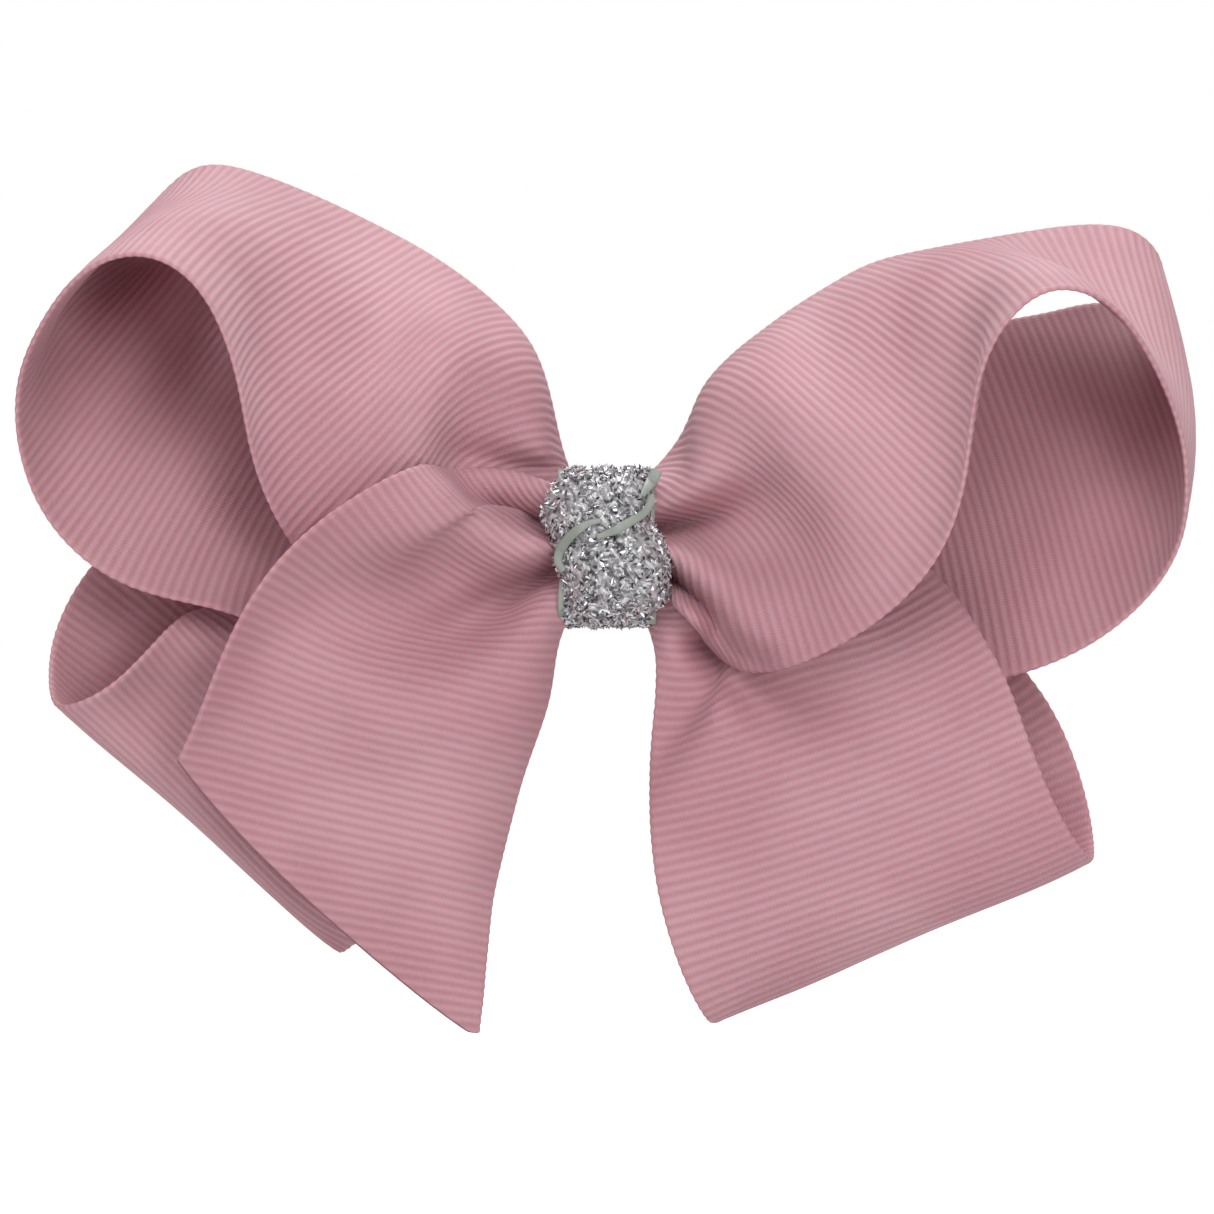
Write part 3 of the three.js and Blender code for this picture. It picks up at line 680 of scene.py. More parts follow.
def keep_off_clip(points):
    """Flattens what would reach the clip's lining to just in front of it, and eases off round it."""
    past_x = np.maximum(np.abs(points[..., 0]) - CLIP_X, 0)
    past_z = np.maximum(np.abs(points[..., 2]) - CLIP_Z, 0)
    limit = CLIP_Y + past_x + CLIP_EASE * past_z
    points[..., 1] = np.minimum(points[..., 1], limit)
    return points


def mesh_object(name, points, faces, smooth=True):
    mesh = bpy.data.meshes.new(name)
    mesh.from_pydata((np.asarray(points) * MM).tolist(), [], faces)
    mesh.polygons.foreach_set("use_smooth", np.full(len(mesh.polygons), smooth))
    return add_object(name, mesh)


def shell_faces(rows, cols):
    """Both faces and the four edges of a sheet of rows by cols points, front points first."""
    index = np.arange(rows * cols).reshape(rows, cols)
    a, b, c, d = index[:-1, :-1], index[1:, :-1], index[1:, 1:], index[:-1, 1:]
    front = np.stack([a, b, c, d], -1).reshape(-1, 4)
    rim = np.r_[index[:-1, 0], index[-1, :-1], index[1:, -1][::-1], index[0, 1:][::-1]]
    after = np.roll(rim, -1)
    n = rows * cols
    side = np.stack([after, rim, rim + n, after + n], -1)
    return np.concatenate([front, front[:, ::-1] + n, side]).tolist()


def set_weave(obj, weave):
    """Gives each point its (u, s, cut) for the ribbon's material."""
    layer = obj.data.attributes.new("weave", "FLOAT_VECTOR", "POINT")
    layer.data.foreach_set("vector", weave.ravel())


def sheet_mesh(name, middle, half, weave):
    """A closed sheet: middle is a grid of points, half its half thickness, weave its (u, s, cut)."""
    du, ds = np.gradient(middle, axis=1), np.gradient(middle, axis=0)
    offset = unit(np.cross(ds, du)) * half[..., None]
    points = np.concatenate([(middle + offset).reshape(-1, 3), (middle - offset).reshape(-1, 3)])
    obj = mesh_object(name, points, shell_faces(*middle.shape[:2]))
    set_weave(obj, np.concatenate([weave.reshape(-1, 3), weave.reshape(-1, 3)]))
    return obj


def edge_profile(from_edge):
    """Half thickness without ribs, and how much of the ribs shows, at a distance from a selvedge."""
    at = (0, 0.15, 0.4, 0.7, 1.1, 1.9)
    half = np.interp(from_edge, at, (0.05, 0.17, 0.24, 0.23, RIBBON_T / 2, RIBBON_T / 2))
    return half, np.interp(from_edge, at, (0.1, 0.35, 0.45, 0.5, 0.8, 1))


def ribbon_mesh(name, shape, grid, valleys, cut=None):
    """The fine ribbon of one relaxed grid. cut is the s of a slanted cut on each selvedge."""
    starts, stops = ends_of(shape)
    ends = cut or stops
    step = RIB_PITCH / ROWS_PER_RIB
    s = np.arange(math.ceil(min(starts) / step), math.floor(max(ends) / step) + 1) * step
    low_a, high_a = limits(starts, s, True)
    low_b, high_b = limits(ends, s, False)
    low, high = np.maximum(low_a, low_b), np.minimum(high_a, high_b)
    wide = high - low > 0.03
    s, low, high = s[wide], low[wide], high[wide]
    w = low[:, None] + (high - low)[:, None] * COLUMNS
    s = np.broadcast_to(s[:, None], w.shape)
    first = starts[0] + (starts[1] - starts[0]) * w
    last = stops[0] + (stops[1] - stops[0]) * w
    rows = grid.shape[0] - 1
    middle = bicubic(grid, (s - first) / (last - first) * rows, w * ACROSS)
    middle = keep_off_clip(press_valleys(middle, valleys))
    from_edge = np.minimum(w, 1 - w) * RIBBON_W
    past_cut = np.full_like(s, 9.0)
    if cut:
        slant = math.atan2(cut[1] - cut[0], RIBBON_W)
        past_cut = (cut[0] + (cut[1] - cut[0]) * w - s) * math.cos(slant)
    half, share = edge_profile(np.minimum(from_edge, past_cut + 0.2))
    half = half + ribs(s) * RIB_HIGH * share
    out = np.where(from_edge < 0.02, BEAD * ribs(s), 0) * np.where(w < 0.5, -1, 1)
    middle = middle + unit(np.gradient(middle, axis=1)) * out[..., None]
    middle[..., 1] += BUNDLE_Y
    return sheet_mesh(name, middle, half, np.stack([w * RIBBON_W, s, past_cut], -1))


# ---- materials ----------------------------------------------------------------------------------
class Nodes:
    """A material's node tree, with short calls for the nodes used here."""

    def __init__(self, name):
        self.material = bpy.data.materials.new(name)
        self.material.use_nodes = True
        self.tree = self.material.node_tree
        self.shader = self.tree.nodes["Principled BSDF"]

    def node(self, kind, **settings):
        made = self.tree.nodes.new("ShaderNode" + kind)
        for key, value in settings.items():
            setattr(made, key, value)
        return made

    def put(self, socket, value):
        if isinstance(value, bpy.types.NodeSocket):
            self.tree.links.new(value, socket)
        else:
            socket.default_value = value

    def math(self, operation, *values):
        made = self.node("Math", operation=operation)
        for socket, value in zip(made.inputs, values):
            self.put(socket, value)
        return made.outputs[0]

    def step(self, value, low, high):
        """0 below low, 1 above high, smooth between."""
        made = self.node("MapRange", interpolation_type="SMOOTHSTEP")
        self.put(made.inputs["Value"], value)
        self.put(made.inputs["From Min"], low)
        self.put(made.inputs["From Max"], high)
        return made.outputs[0]

    def mix(self, share, first, second):
        made = self.node("Mix", data_type="RGBA")
        colours = [socket for socket in made.inputs if socket.type == "RGBA"]
        self.put(made.inputs[0], share)
        for socket, value in zip(colours, (first, second)):
            self.put(socket, value if isinstance(value, bpy.types.NodeSocket) else (*value, 1))
        return [socket for socket in made.outputs if socket.type == "RGBA"][0]

    def noise(self, scale, detail=2.0, vector=None):
        made = self.node("TexNoise")
        self.put(made.inputs["Scale"], scale)
        self.put(made.inputs["Detail"], detail)
        if vector is not None:
            self.put(made.inputs["Vector"], vector)
        return made.outputs[0]

    def place(self):
        """Places on the object, in metres."""
        return self.node("TexCoord").outputs["Object"]

    def bump(self, height, strength, distance):
        made = self.node("Bump")
        self.put(made.inputs["Strength"], strength)
        self.put(made.inputs["Distance"], distance)
        self.put(made.inputs["Height"], height)
        self.put(self.shader.inputs["Normal"], made.outputs[0])

    def to_camera(self, value):
        """value for what the camera sees directly, else 0: for the stage only."""
        return self.math("MULTIPLY", self.node("LightPath").outputs["Is Camera Ray"], value)

    def set(self, **values):
        for key, value in values.items():
            socket = self.shader.inputs[key.replace("_", " ")]
            if socket.type == "RGBA" and not isinstance(value, bpy.types.NodeSocket):
                value = (*value, 1)
            self.put(socket, value)


ROSE = (0.500, 0.252, 0.292)
# painted shade: the darker rose painted into the grooves between the ribs and between the warp threads
ROSE_GROOVE_SHADE = (0.360, 0.140, 0.165)
# a paler rose: random patches and fibres, and also the painted highlight on the rib crests
ROSE_PALE_AND_HIGHLIGHT = (0.590, 0.335, 0.374)
ROSE_SEALED = (0.210, 0.080, 0.088)
WARP_PITCH = 0.30        # the fine threads that run along the ribbon


def ribbon_material():
    n = Nodes("rose_grosgrain")
    weave = n.node("Attribute", attribute_name="weave").outputs["Vector"]
    split = n.node("SeparateXYZ")
    n.put(split.inputs[0], weave)
    u, s, cut = split.outputs
    rib = n.math("FRACT", n.math("DIVIDE", s, RIB_PITCH))
    from_crest = n.math("ABSOLUTE", n.math("SUBTRACT", rib, 0.5))
    # mask for the painted shade in the grooves between the ribs
    groove_shade = n.step(from_crest, 0.06, 0.5)
    # mask for the painted highlight on the rib crests
    crest_highlight = n.math("SUBTRACT", 1.0, n.step(from_crest, 0.0, 0.26))
    row = n.math("FLOOR", n.math("DIVIDE", s, RIB_PITCH))
    shifted = n.math("ADD", n.math("DIVIDE", u, WARP_PITCH), n.math("MULTIPLY", row, 0.5))
    thread = n.math("SINE", n.math("MULTIPLY", shifted, 2 * math.pi))
    patches = n.noise(45.0, 3.0, n.place())
    fibres = n.noise(2600.0, 2.0, n.place())
    base = n.mix(n.step(patches, 0.35, 0.68), ROSE, ROSE_PALE_AND_HIGHLIGHT)
    # painted highlight: the rib crests are painted paler, on top of the ribs' real relief
    base = n.mix(n.math("MULTIPLY", crest_highlight, 0.25), base, ROSE_PALE_AND_HIGHLIGHT)
    # painted shade: the grooves between the ribs are painted darker
    base = n.mix(n.math("MULTIPLY", groove_shade, 0.40), base, ROSE_GROOVE_SHADE)
    # painted shade: darker stripes between the warp threads, which the same wave also bumps
    base = n.mix(n.math("MULTIPLY", n.step(thread, 0.0, 1.0), 0.10), base, ROSE_GROOVE_SHADE)
    base = n.mix(n.math("MULTIPLY", n.step(fibres, 0.45, 0.8), 0.16), base, ROSE_PALE_AND_HIGHLIGHT)
    sealed = n.math("SUBTRACT", 1.0, n.step(cut, 0.04, 0.28))
    base = n.mix(sealed, base, ROSE_SEALED)
    rough = n.math("SUBTRACT", 0.66, n.math("MULTIPLY", sealed, 0.35))
    n.set(Base_Color=base, Roughness=n.math("ADD", rough, n.math("MULTIPLY", fibres, 0.1)))
    n.set(Sheen_Weight=0.08, Sheen_Roughness=0.5, Specular_IOR_Level=0.6)
    n.set(Subsurface_Weight=0.25, Subsurface_Scale=0.001, Subsurface_Radius=(1.1, 0.14, 0.13))
    n.set(Sheen_Tint=(1.0, 0.98, 1.0))
    height = n.math("ADD", n.math("MULTIPLY", thread, 0.35), n.math("MULTIPLY", fibres, 0.5))
    n.bump(height, 0.55, 0.00006)
    return n.material


def thread_material():
    n = Nodes("rose_thread_twist")
    twist = n.node("TexWave", wave_type="BANDS", bands_direction="DIAGONAL")
    n.put(twist.inputs["Vector"], n.place())
    n.put(twist.inputs["Scale"], 900.0)
    n.put(twist.inputs["Distortion"], 1.5)
    # painted shade: the dark bands are shade painted into the grooves between the twist's strands, which the
    # same bands also bump
    shade = n.mix(n.math("MULTIPLY", twist.outputs[1], 0.6), (0.58, 0.30, 0.35), (0.36, 0.16, 0.20))
    n.set(Base_Color=shade, Roughness=0.62, Sheen_Weight=0.15)
    n.bump(twist.outputs[1], 0.6, 0.00008)
    return n.material


EDGE_GREY = (0.250, 0.280, 0.245)


def edge_material():
    """The smooth woven edge and back of the glitter ribbon."""
    n = Nodes("grey_green_satin")
    fine = n.noise(1500.0, 3.0, n.place())
    broad = n.noise(260.0, 2.0, n.place())
    shade = n.mix(n.step(broad, 0.3, 0.7), EDGE_GREY, (0.34, 0.37, 0.33))
    shade = n.mix(n.math("MULTIPLY", n.step(fine, 0.45, 0.75), 0.35), shade, (0.27, 0.29, 0.26))
    n.set(Base_Color=shade, Roughness=n.math("ADD", 0.36, n.math("MULTIPLY", fine, 0.2)))
    n.set(Sheen_Weight=0.1, Specular_IOR_Level=0.5)
    n.bump(fine, 0.35, 0.00006)
    return n.material


def backing_material():
    """The dark coated ground between the glitter flakes."""
    n = Nodes("glitter_ground")
    grains = n.node("TexVoronoi")
    n.put(grains.inputs["Vector"], n.place())
    n.put(grains.inputs["Scale"], 2400.0)
    spread = n.node("SeparateColor")
    n.put(spread.inputs[0], grains.outputs["Color"])
    shade = n.mix(spread.outputs[0], (0.20, 0.20, 0.21), (0.72, 0.71, 0.72))
    rough = n.math("ADD", 0.3, n.math("MULTIPLY", spread.outputs[1], 0.3))
    n.set(Base_Color=shade, Metallic=0.55, Roughness=rough)
    n.bump(spread.outputs[2], 0.8, 0.00012)
    return n.material


def flake_material():
    n = Nodes("silver_flakes")
    tone = n.node("Attribute", attribute_name="tone").outputs["Color"]
    grain = n.noise(3000.0, 1.0, n.place())
    n.set(Base_Color=tone, Metallic=0.65, Roughness=n.math("ADD", 0.16, n.math("MULTIPLY", grain, 0.3)))
    n.bump(grain, 0.3, 0.00004)
    return n.material


def steel_material():
    n = Nodes("nickel_plated_steel")
    stretched = n.node("Mapping")
    n.put(stretched.inputs["Vector"], n.place())
    n.put(stretched.inputs["Scale"], (0.06, 1.0, 1.0))
    brushed = n.noise(5200.0, 3.0, stretched.outputs[0])
    stains = n.noise(160.0, 4.0, n.place())
    shade = n.mix(n.math("MULTIPLY", n.step(stains, 0.4, 0.75), 0.5), (0.66, 0.66, 0.66), (0.50, 0.48, 0.45))
    rough = n.math("ADD", 0.20, n.math("MULTIPLY", brushed, 0.22))
    n.set(Base_Color=shade, Metallic=1.0, Roughness=n.math("ADD", rough, n.math("MULTIPLY", stains, 0.08)))
    n.bump(brushed, 0.25, 0.00003)
    return n.material


def glue_material():
    n = Nodes("set_hot_glue")
    cloud = n.noise(500.0, 3.0, n.place())
    n.set(Base_Color=n.mix(cloud, (0.74, 0.70, 0.60), (0.86, 0.84, 0.78)), Roughness=0.28)
    n.set(Subsurface_Weight=0.25, Subsurface_Scale=0.001)
    n.bump(cloud, 0.4, 0.0001)
    return n.material


MATERIALS = {
    "ribbon": ribbon_material(),
    "thread": thread_material(),
    "edge": edge_material(),
    "backing": backing_material(),
    "flakes": flake_material(),
    "steel": steel_material(),
    "glue": glue_material(),
}


def finish_piece(obj, body, material, nodes=()):
    """Material, body and the CAD nodes that a piece stands for."""
    obj.data.materials.clear()
    obj.data.materials.append(MATERIALS[material])
    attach(obj, body)
    if nodes:
        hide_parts(*nodes)


# ---- the wide ribbon ----------------------------------------------------------------------------
def make_ribbon():
    relaxed = relax_all()
    for name, grid in relaxed.items():
        shape = SHAPES[name]
        cut = TAIL_CUT if name == "tail_front" else None
        side = "left" if shape["side"] < 0 else "right"
        node = "ribbon_" + name if name == "tail_front" else "ribbon_loop_" + name
        obj = ribbon_mesh(node + "_cloth", shape, grid, VALLEYS[side], cut)
        finish_piece(obj, BOW_BODY, "ribbon", [node])
        starts, stops = ends_of(shape)
        stops = cut or stops


# The short rear tail: (x, y, z) of the near and the far selvedge, where y counts from BUNDLE_Y. Nothing
# keeps it off the clip's lining, the clip's plate or the lower right loop, and it cuts into all three.
REAR_TAIL = [
    ((3.6, 4, 0.6), (3.6, 4, -4.8)),
    ((8, 5, -0.6), (5.2, 4.8, -7.6)),
    ((13, 6.2, -2.6), (6.6, 6, -11.6)),
    ((19, 7.4, -5.2), (9, 7, -15.6)),
]
REAR_PLEATS = 3          # pleats that open out along it
REAR_PLEAT_DEPTH = 1.5


def make_rear_tail():
    near = catmull([row[0] for row in REAR_TAIL], np.linspace(0, 3, 100))
    far = catmull([row[1] for row in REAR_TAIL], np.linspace(0, 3, 100))
    w = COLUMNS
    middle = near[:, None] + (far - near)[:, None] * w[None, :, None]
    length = length_to((near + far) / 2)
    s = np.broadcast_to(length[:, None], middle.shape[:2])
    opening = 1 - length / length[-1]
    depth = REAR_PLEAT_DEPTH * (0.35 + 0.65 * opening[:, None])
    middle = middle.copy()
    middle[..., 1] += BUNDLE_Y + depth * np.sin(2 * np.pi * REAR_PLEATS * w)
    half, share = edge_profile(np.minimum(w, 1 - w) * RIBBON_W)
    half = half + ribs(s) * RIB_HIGH * share
    cut = length[-1] - s
    obj = sheet_mesh("ribbon_tail_rear_cloth", middle, half, np.stack([w * RIBBON_W + 0 * s, s, cut], -1))
    finish_piece(obj, BOW_BODY, "ribbon", ["ribbon_tail_rear"])


def ring_faces(rows, cols):
    """Faces of a tube: rows around a closed ring of cols points, without its ends."""
    index = np.arange(rows * cols).reshape(rows, cols)
    a, b = index[:-1], index[1:]
    return np.stack([a, b, np.roll(b, -1, 1), np.roll(a, -1, 1)], -1).reshape(-1, 4).tolist()


def loft(name, rings):
    """A closed solid through rings of points, with a point in the middle of each end."""
    rings = np.asarray(rings)
    rows, cols = rings.shape[:2]
    points = np.concatenate([rings.reshape(-1, 3), [rings[0].mean(0), rings[-1].mean(0)]])
    faces = ring_faces(rows, cols)
    first, last = rows * cols, rows * cols + 1
    top = (rows - 1) * cols
    for k in range(cols):
        after = (k + 1) % cols
        faces.append([first, k, after])
        faces.append([last, top + after, top + k])
    return mesh_object(name, points, faces)


def sweep(name, path, radius, sides=14, flat=(1.0, 1.0), up=(0.0, 0.0, 1.0), taper=None):
    """A solid strip or wire along a path. flat scales the section across and along up."""
    path = np.asarray(path, float)
    along_path = unit(np.gradient(path, axis=0))
    up = np.broadcast_to(np.asarray(up, float), path.shape)
    across = unit(np.cross(along_path, up))
    up = np.cross(across, along_path)
    angle = np.linspace(0, 2 * np.pi, sides, endpoint=False)
    width = np.ones(len(path)) if taper is None else taper
    section = (
        across[:, None] * (np.cos(angle) * flat[0])[None, :, None]
        + up[:, None] * (np.sin(angle) * flat[1])[None, :, None]
    )
    return loft(name, path[:, None] + section * (radius * width)[:, None, None])


# ---- waist and thread ---------------------------------------------------------------------------
WAIST_HALF_X, WAIST_HALF_Y, WAIST_HALF_Z = 3.7, 3.1, 5.2
WAIST_PLEATS = 11


def squarish(angle):
    """A circle filled out towards a square."""
    turned = np.stack([np.cos(angle), np.sin(angle)])
    return np.sign(turned) * np.abs(turned) ** 0.7


def make_waist():
    angle = np.linspace(0, 2 * np.pi, 240, endpoint=False)
    x = np.linspace(-WAIST_HALF_X, WAIST_HALF_X, 30)
    pleat = 0.09 * np.abs(np.sin(WAIST_PLEATS * angle / 2)) ** 0.6 - 0.05
    round_y, round_z = squarish(angle)
    rings = []
    for place in x:
        tight = 0.90 + 0.08 * (place / WAIST_HALF_X) ** 2
        y = BUNDLE_Y + WAIST_HALF_Y * round_y * (tight + pleat)
        z = WAIST_HALF_Z * round_z * (tight + pleat)
        rings.append(np.c_[np.full_like(angle, place), y, z])
    obj = loft("ribbon_waist_pleats", rings)
    weave = np.zeros((len(obj.data.vertices), 3))
    weave[:, 2] = 9
    points = np.array([v.co for v in obj.data.vertices]) / MM
    weave[:, 0], weave[:, 1] = points[:, 2] * 2, points[:, 0]
    set_weave(obj, weave)
    finish_piece(obj, BOW_BODY, "ribbon", ["ribbon_waist"])


THREAD_R = 0.24
THREAD_TURNS = 5


def make_thread():
    t = np.linspace(0, 1, 420)
    angle = 2 * np.pi * THREAD_TURNS * t
    round_y, round_z = squarish(angle)
    lift = 0.45 + 0.12 * np.sin(angle * 1.37)
    path = np.c_[
        -0.95 + 1.9 * t + 0.12 * np.sin(3.1 * angle),
        BUNDLE_Y + (WAIST_HALF_Y + lift) * round_y,
        (WAIST_HALF_Z + lift) * round_z,
    ]
    obj = sweep("gather_thread_turns", path, THREAD_R, sides=10, up=(1.0, 0.0, 0.0))
    finish_piece(obj, BOW_BODY, "thread", ["gather_thread"])


# ---- glitter band -------------------------------------------------------------------------------
BAND_FRONT, BAND_HALF_Z = -14.6, 7.6
BAND_ROUND = 2.6
BAND_BARE = 0.45         # smooth edge of the glitter ribbon
SEED = 7


def band_outline(n):
    """Even places (y, z) round the outside of the band, and the directions out of it."""
    mid_y = BAND_FRONT / 2
    flat_y, flat_z = -mid_y - BAND_ROUND, BAND_HALF_Z - BAND_ROUND
    points = []
    corners = ((1, 1, 0), (-1, 1, 1), (-1, -1, 2), (1, -1, 3))
    for side_y, side_z, quarter in corners:
        for k in range(13):
            a = math.pi / 2 * (quarter + k / 12)
            y = mid_y + side_y * flat_y + BAND_ROUND * math.cos(a)
            z = side_z * flat_z + BAND_ROUND * math.sin(a)
            points.append((y, z))
    points.append(points[0])
    points = np.array(points)
    far = length_to(points)
    at = np.linspace(0, far[-1], n, endpoint=False)
    line = np.stack([np.interp(at, far, points[:, k]) for k in (0, 1)], 1)
    ahead = np.roll(line, -1, 0) - np.roll(line, 1, 0)
    out = np.c_[ahead[:, 1], -ahead[:, 0]]
    return line, unit(out), far[-1]


def band_half_width(z, y):
    """The ribbon is drawn in a little where the knot pulls on it."""
    front = np.clip((BAND_FRONT + 5 - y) / 5, 0, 1)
    return BAND_W / 2 - 0.1 - 0.25 * front * np.exp(-((z / 3.0) ** 2)) + 0.06 * np.sin(0.9 * z + 0.4 * y)


def band_surface(n, m):
    """The band's outer surface: (n, m, 3) points and its directions out."""
    line, out, length = band_outline(n)
    across = np.linspace(-1, 1, m)
    half = band_half_width(line[:, 1], line[:, 0])
    x = half[:, None] * across
    wrinkle = 0.10 * np.sin(2.3 * x + 1.1 * line[:, 1:2]) + 0.07 * np.sin(5.1 * x - 1.9 * line[:, 1:2])
    lift = wrinkle * (1 - across**2)[None, :] - 0.10
    y = line[:, :1] + out[:, :1] * lift
    z = line[:, 1:] + out[:, 1:] * lift
    directions = np.zeros((n, m, 3))
    directions[..., 1], directions[..., 2] = out[:, :1], out[:, 1:]
    return np.stack([x, y, z], -1), directions, length


def two_tone(obj, is_edge):
    """Gives the faces of obj that are at its bare edges the edge material."""
    obj.data.materials.append(MATERIALS["edge"])
    index = np.zeros(len(obj.data.polygons), np.int32)
    centres = np.zeros(3 * len(index), np.float32)
    obj.data.polygons.foreach_get("center", centres)
    index[is_edge(centres.reshape(-1, 3) / MM)] = 1
    obj.data.polygons.foreach_set("material_index", index)


def make_band():
    outer, out, length = band_surface(320, 37)
    inner = outer - out * BAND_T
    rows, cols = outer.shape[:2]
    index = np.arange(rows * cols).reshape(rows, cols)
    a, b = index, np.roll(index, -1, 0)
    outside = np.stack([a[:, :-1], a[:, 1:], b[:, 1:], b[:, :-1]], -1).reshape(-1, 4)
    n = rows * cols
    low = np.stack([a[:, 0], b[:, 0], b[:, 0] + n, a[:, 0] + n], -1)
    high = np.stack([b[:, -1], a[:, -1], a[:, -1] + n, b[:, -1] + n], -1)
    faces = np.concatenate([outside, outside[:, ::-1] + n, low, high]).tolist()
    points = np.concatenate([outer.reshape(-1, 3), inner.reshape(-1, 3)])
    obj = mesh_object("center_band_ribbon", points, faces)
    finish_piece(obj, BOW_BODY, "backing", ["center_band"])
    two_tone(obj, lambda c: np.abs(c[:, 0]) > band_half_width(c[:, 2], c[:, 1]) - BAND_BARE)
    return outer, out


# ---- knot ---------------------------------------------------------------------------------------
# Each lobe is a pillow that stands for the ribbon folded over itself: middle (x, z), half sizes, turn in
# degrees, height, and tuck, which raises its top side if positive and its bottom side if negative.
KNOT_BACK = BAND_FRONT + 0.1
LOBES = {
    "knot_fold_upper": dict(x=-0.8, z=3.2, rx=5.3, rz=4.2, turn=6, high=3.2, tuck=-0.55),
    "knot_fold_lower": dict(x=0.8, z=-2.3, rx=5.3, rz=4.9, turn=14, high=3.5, tuck=0.4),
}
FOLD_T = 0.4
SQUARENESS = 2.7         # 2 is an ellipse, more is squarer


def lobe_surface(lobe, n=72, m=96):
    """A crumpled pillow of ribbon: (n, m, 3) points from its crown out to its rim."""
    r = np.linspace(0.02, 1, n)[:, None]
    a = np.linspace(0, 2 * np.pi, m, endpoint=False)[None, :]
    square = (np.abs(np.cos(a)) ** SQUARENESS + np.abs(np.sin(a)) ** SQUARENESS) ** (-1 / SQUARENESS)
    wavy = 1 + 0.030 * np.sin(5 * a + lobe["x"]) + 0.022 * np.sin(9 * a + 2 * lobe["z"])
    x = lobe["rx"] * r * square * np.cos(a) * wavy
    z = lobe["rz"] * r * square * np.sin(a) * wavy
    crown = (1 - r ** 2.6) ** 0.62
    crumple = 0.16 * np.sin(1.9 * x + 1.2 * z) + 0.12 * np.sin(3.3 * z - 1.3 * x + 1)
    crumple = crumple + 0.09 * np.sin(5.7 * x + 2.1 * z + 2)
    tuck = 0.28 * lobe["tuck"] * z / lobe["rz"]
    y = KNOT_BACK - lobe["high"] * crown * (1 + tuck) - crumple * (1 - r**4)
    turn = math.radians(lobe["turn"])
    turned_x = lobe["x"] + x * math.cos(turn) - z * math.sin(turn)
    turned_z = lobe["z"] + x * math.sin(turn) + z * math.cos(turn)
    return np.stack([turned_x, y, turned_z], -1)


def surface_out(points, wrap):
    """Directions out of a grid of points, towards the viewer's side."""
    if wrap:
        dv = np.roll(points, -1, 1) - np.roll(points, 1, 1)
    else:
        dv = np.gradient(points, axis=1)
    return unit(np.cross(dv, np.gradient(points, axis=0)))


def make_lobe(name, lobe):
    outer = lobe_surface(lobe)
    out = surface_out(outer, True)
    if out[0, :, 1].mean() > 0:
        out = -out
    inner = outer - out * FOLD_T
    rows, cols = outer.shape[:2]
    faces = ring_faces(rows, cols)
    n = rows * cols
    faces += [[i + n for i in face[::-1]] for face in faces]
    rim = np.arange((rows - 1) * cols, rows * cols)
    after = np.roll(rim, -1)
    faces += np.stack([rim, after, after + n, rim + n], -1)[:, ::-1].tolist()
    points = np.concatenate([outer.reshape(-1, 3), inner.reshape(-1, 3)])
    faces += [list(range(cols)), [n + k for k in range(cols)][::-1]]
    obj = mesh_object(name, points, faces)
    correct_winding(obj)
    finish_piece(obj, BOW_BODY, "backing", ["center_knot"])
    return outer, out


def correct_winding(obj):
    work = bmesh.new()
    work.from_mesh(obj.data)
    bmesh.ops.recalc_face_normals(work, faces=work.faces)
    work.to_mesh(obj.data)
    work.free()


# The smooth edges of the folded ribbon that show across the knot: (x, z) along each, and half its width.
EDGE_STRIPS = {
    "knot_edge_left": dict(
        line=[(-4.2, -2.4), (-4.7, -1.4), (-4.5, -0.4), (-3.7, 0.8), (-2.7, 1.7), (-1.6, 2.3), (-0.6, 2.5)],
        half=(0.30, 0.50, 0.45, 0.20),
    ),
    "knot_edge_right": dict(
        line=[(-1.0, 0.9), (0.6, 1.5), (2.1, 2.3), (3.5, 3.2), (4.1, 4.1), (4.2, 5.0)],
        half=(0.25, 0.45, 0.40, 0.35),
    ),
    "knot_edge_top": dict(
        line=[(3.4, 4.9), (3.9, 5.7), (4.4, 6.5), (4.8, 7.4)],
        half=(0.25, 0.45, 0.60, 0.55),
    ),
}


def front_of(surfaces, x, z):
    """The y of the frontmost point of the surfaces near (x, z)."""
    best = BAND_FRONT
    for points in surfaces:
        near = np.hypot(points[..., 0] - x, points[..., 2] - z) < 0.55
        if near.any():
            best = min(best, points[..., 1][near].min())
    return best


def make_edge_strips(surfaces):
    for name, strip in EDGE_STRIPS.items():
        line, _ = even(strip["line"], 60)
        y = np.array([front_of(surfaces, x, z) for x, z in line])
        for _ in range(12):
            y[1:-1] = (y[2:] + y[:-2] + 2 * y[1:-1]) / 4
        path = np.c_[line[:, 0], y - 0.22, line[:, 1]]
        half = np.interp(np.linspace(0, 3, 60), range(4), strip["half"])
        obj = sweep(name, path, 1.0, sides=16, flat=(1.0, 0.28), up=(0.0, -1.0, 0.0), taper=half)
        finish_piece(obj, BOW_BODY, "edge", ["center_knot"])


# ---- glitter flakes -----------------------------------------------------------------------------
FLAKES_PER_MM2 = 9.0
FLAKE_LONG, FLAKE_WIDE, FLAKE_T = (0.40, 0.95), (0.20, 0.42), 0.03
FLAKE_TILT = 0.55
TONES = np.array([
    (0.93, 0.93, 0.95),
    (0.80, 0.79, 0.82),
    (0.62, 0.62, 0.62),
    (0.60, 0.52, 0.56),
    (0.36, 0.35, 0.38),
    (0.13, 0.12, 0.14),
    (0.05, 0.05, 0.06),
])
TONE_SHARES = (0.28, 0.20, 0.14, 0.06, 0.13, 0.11, 0.08)


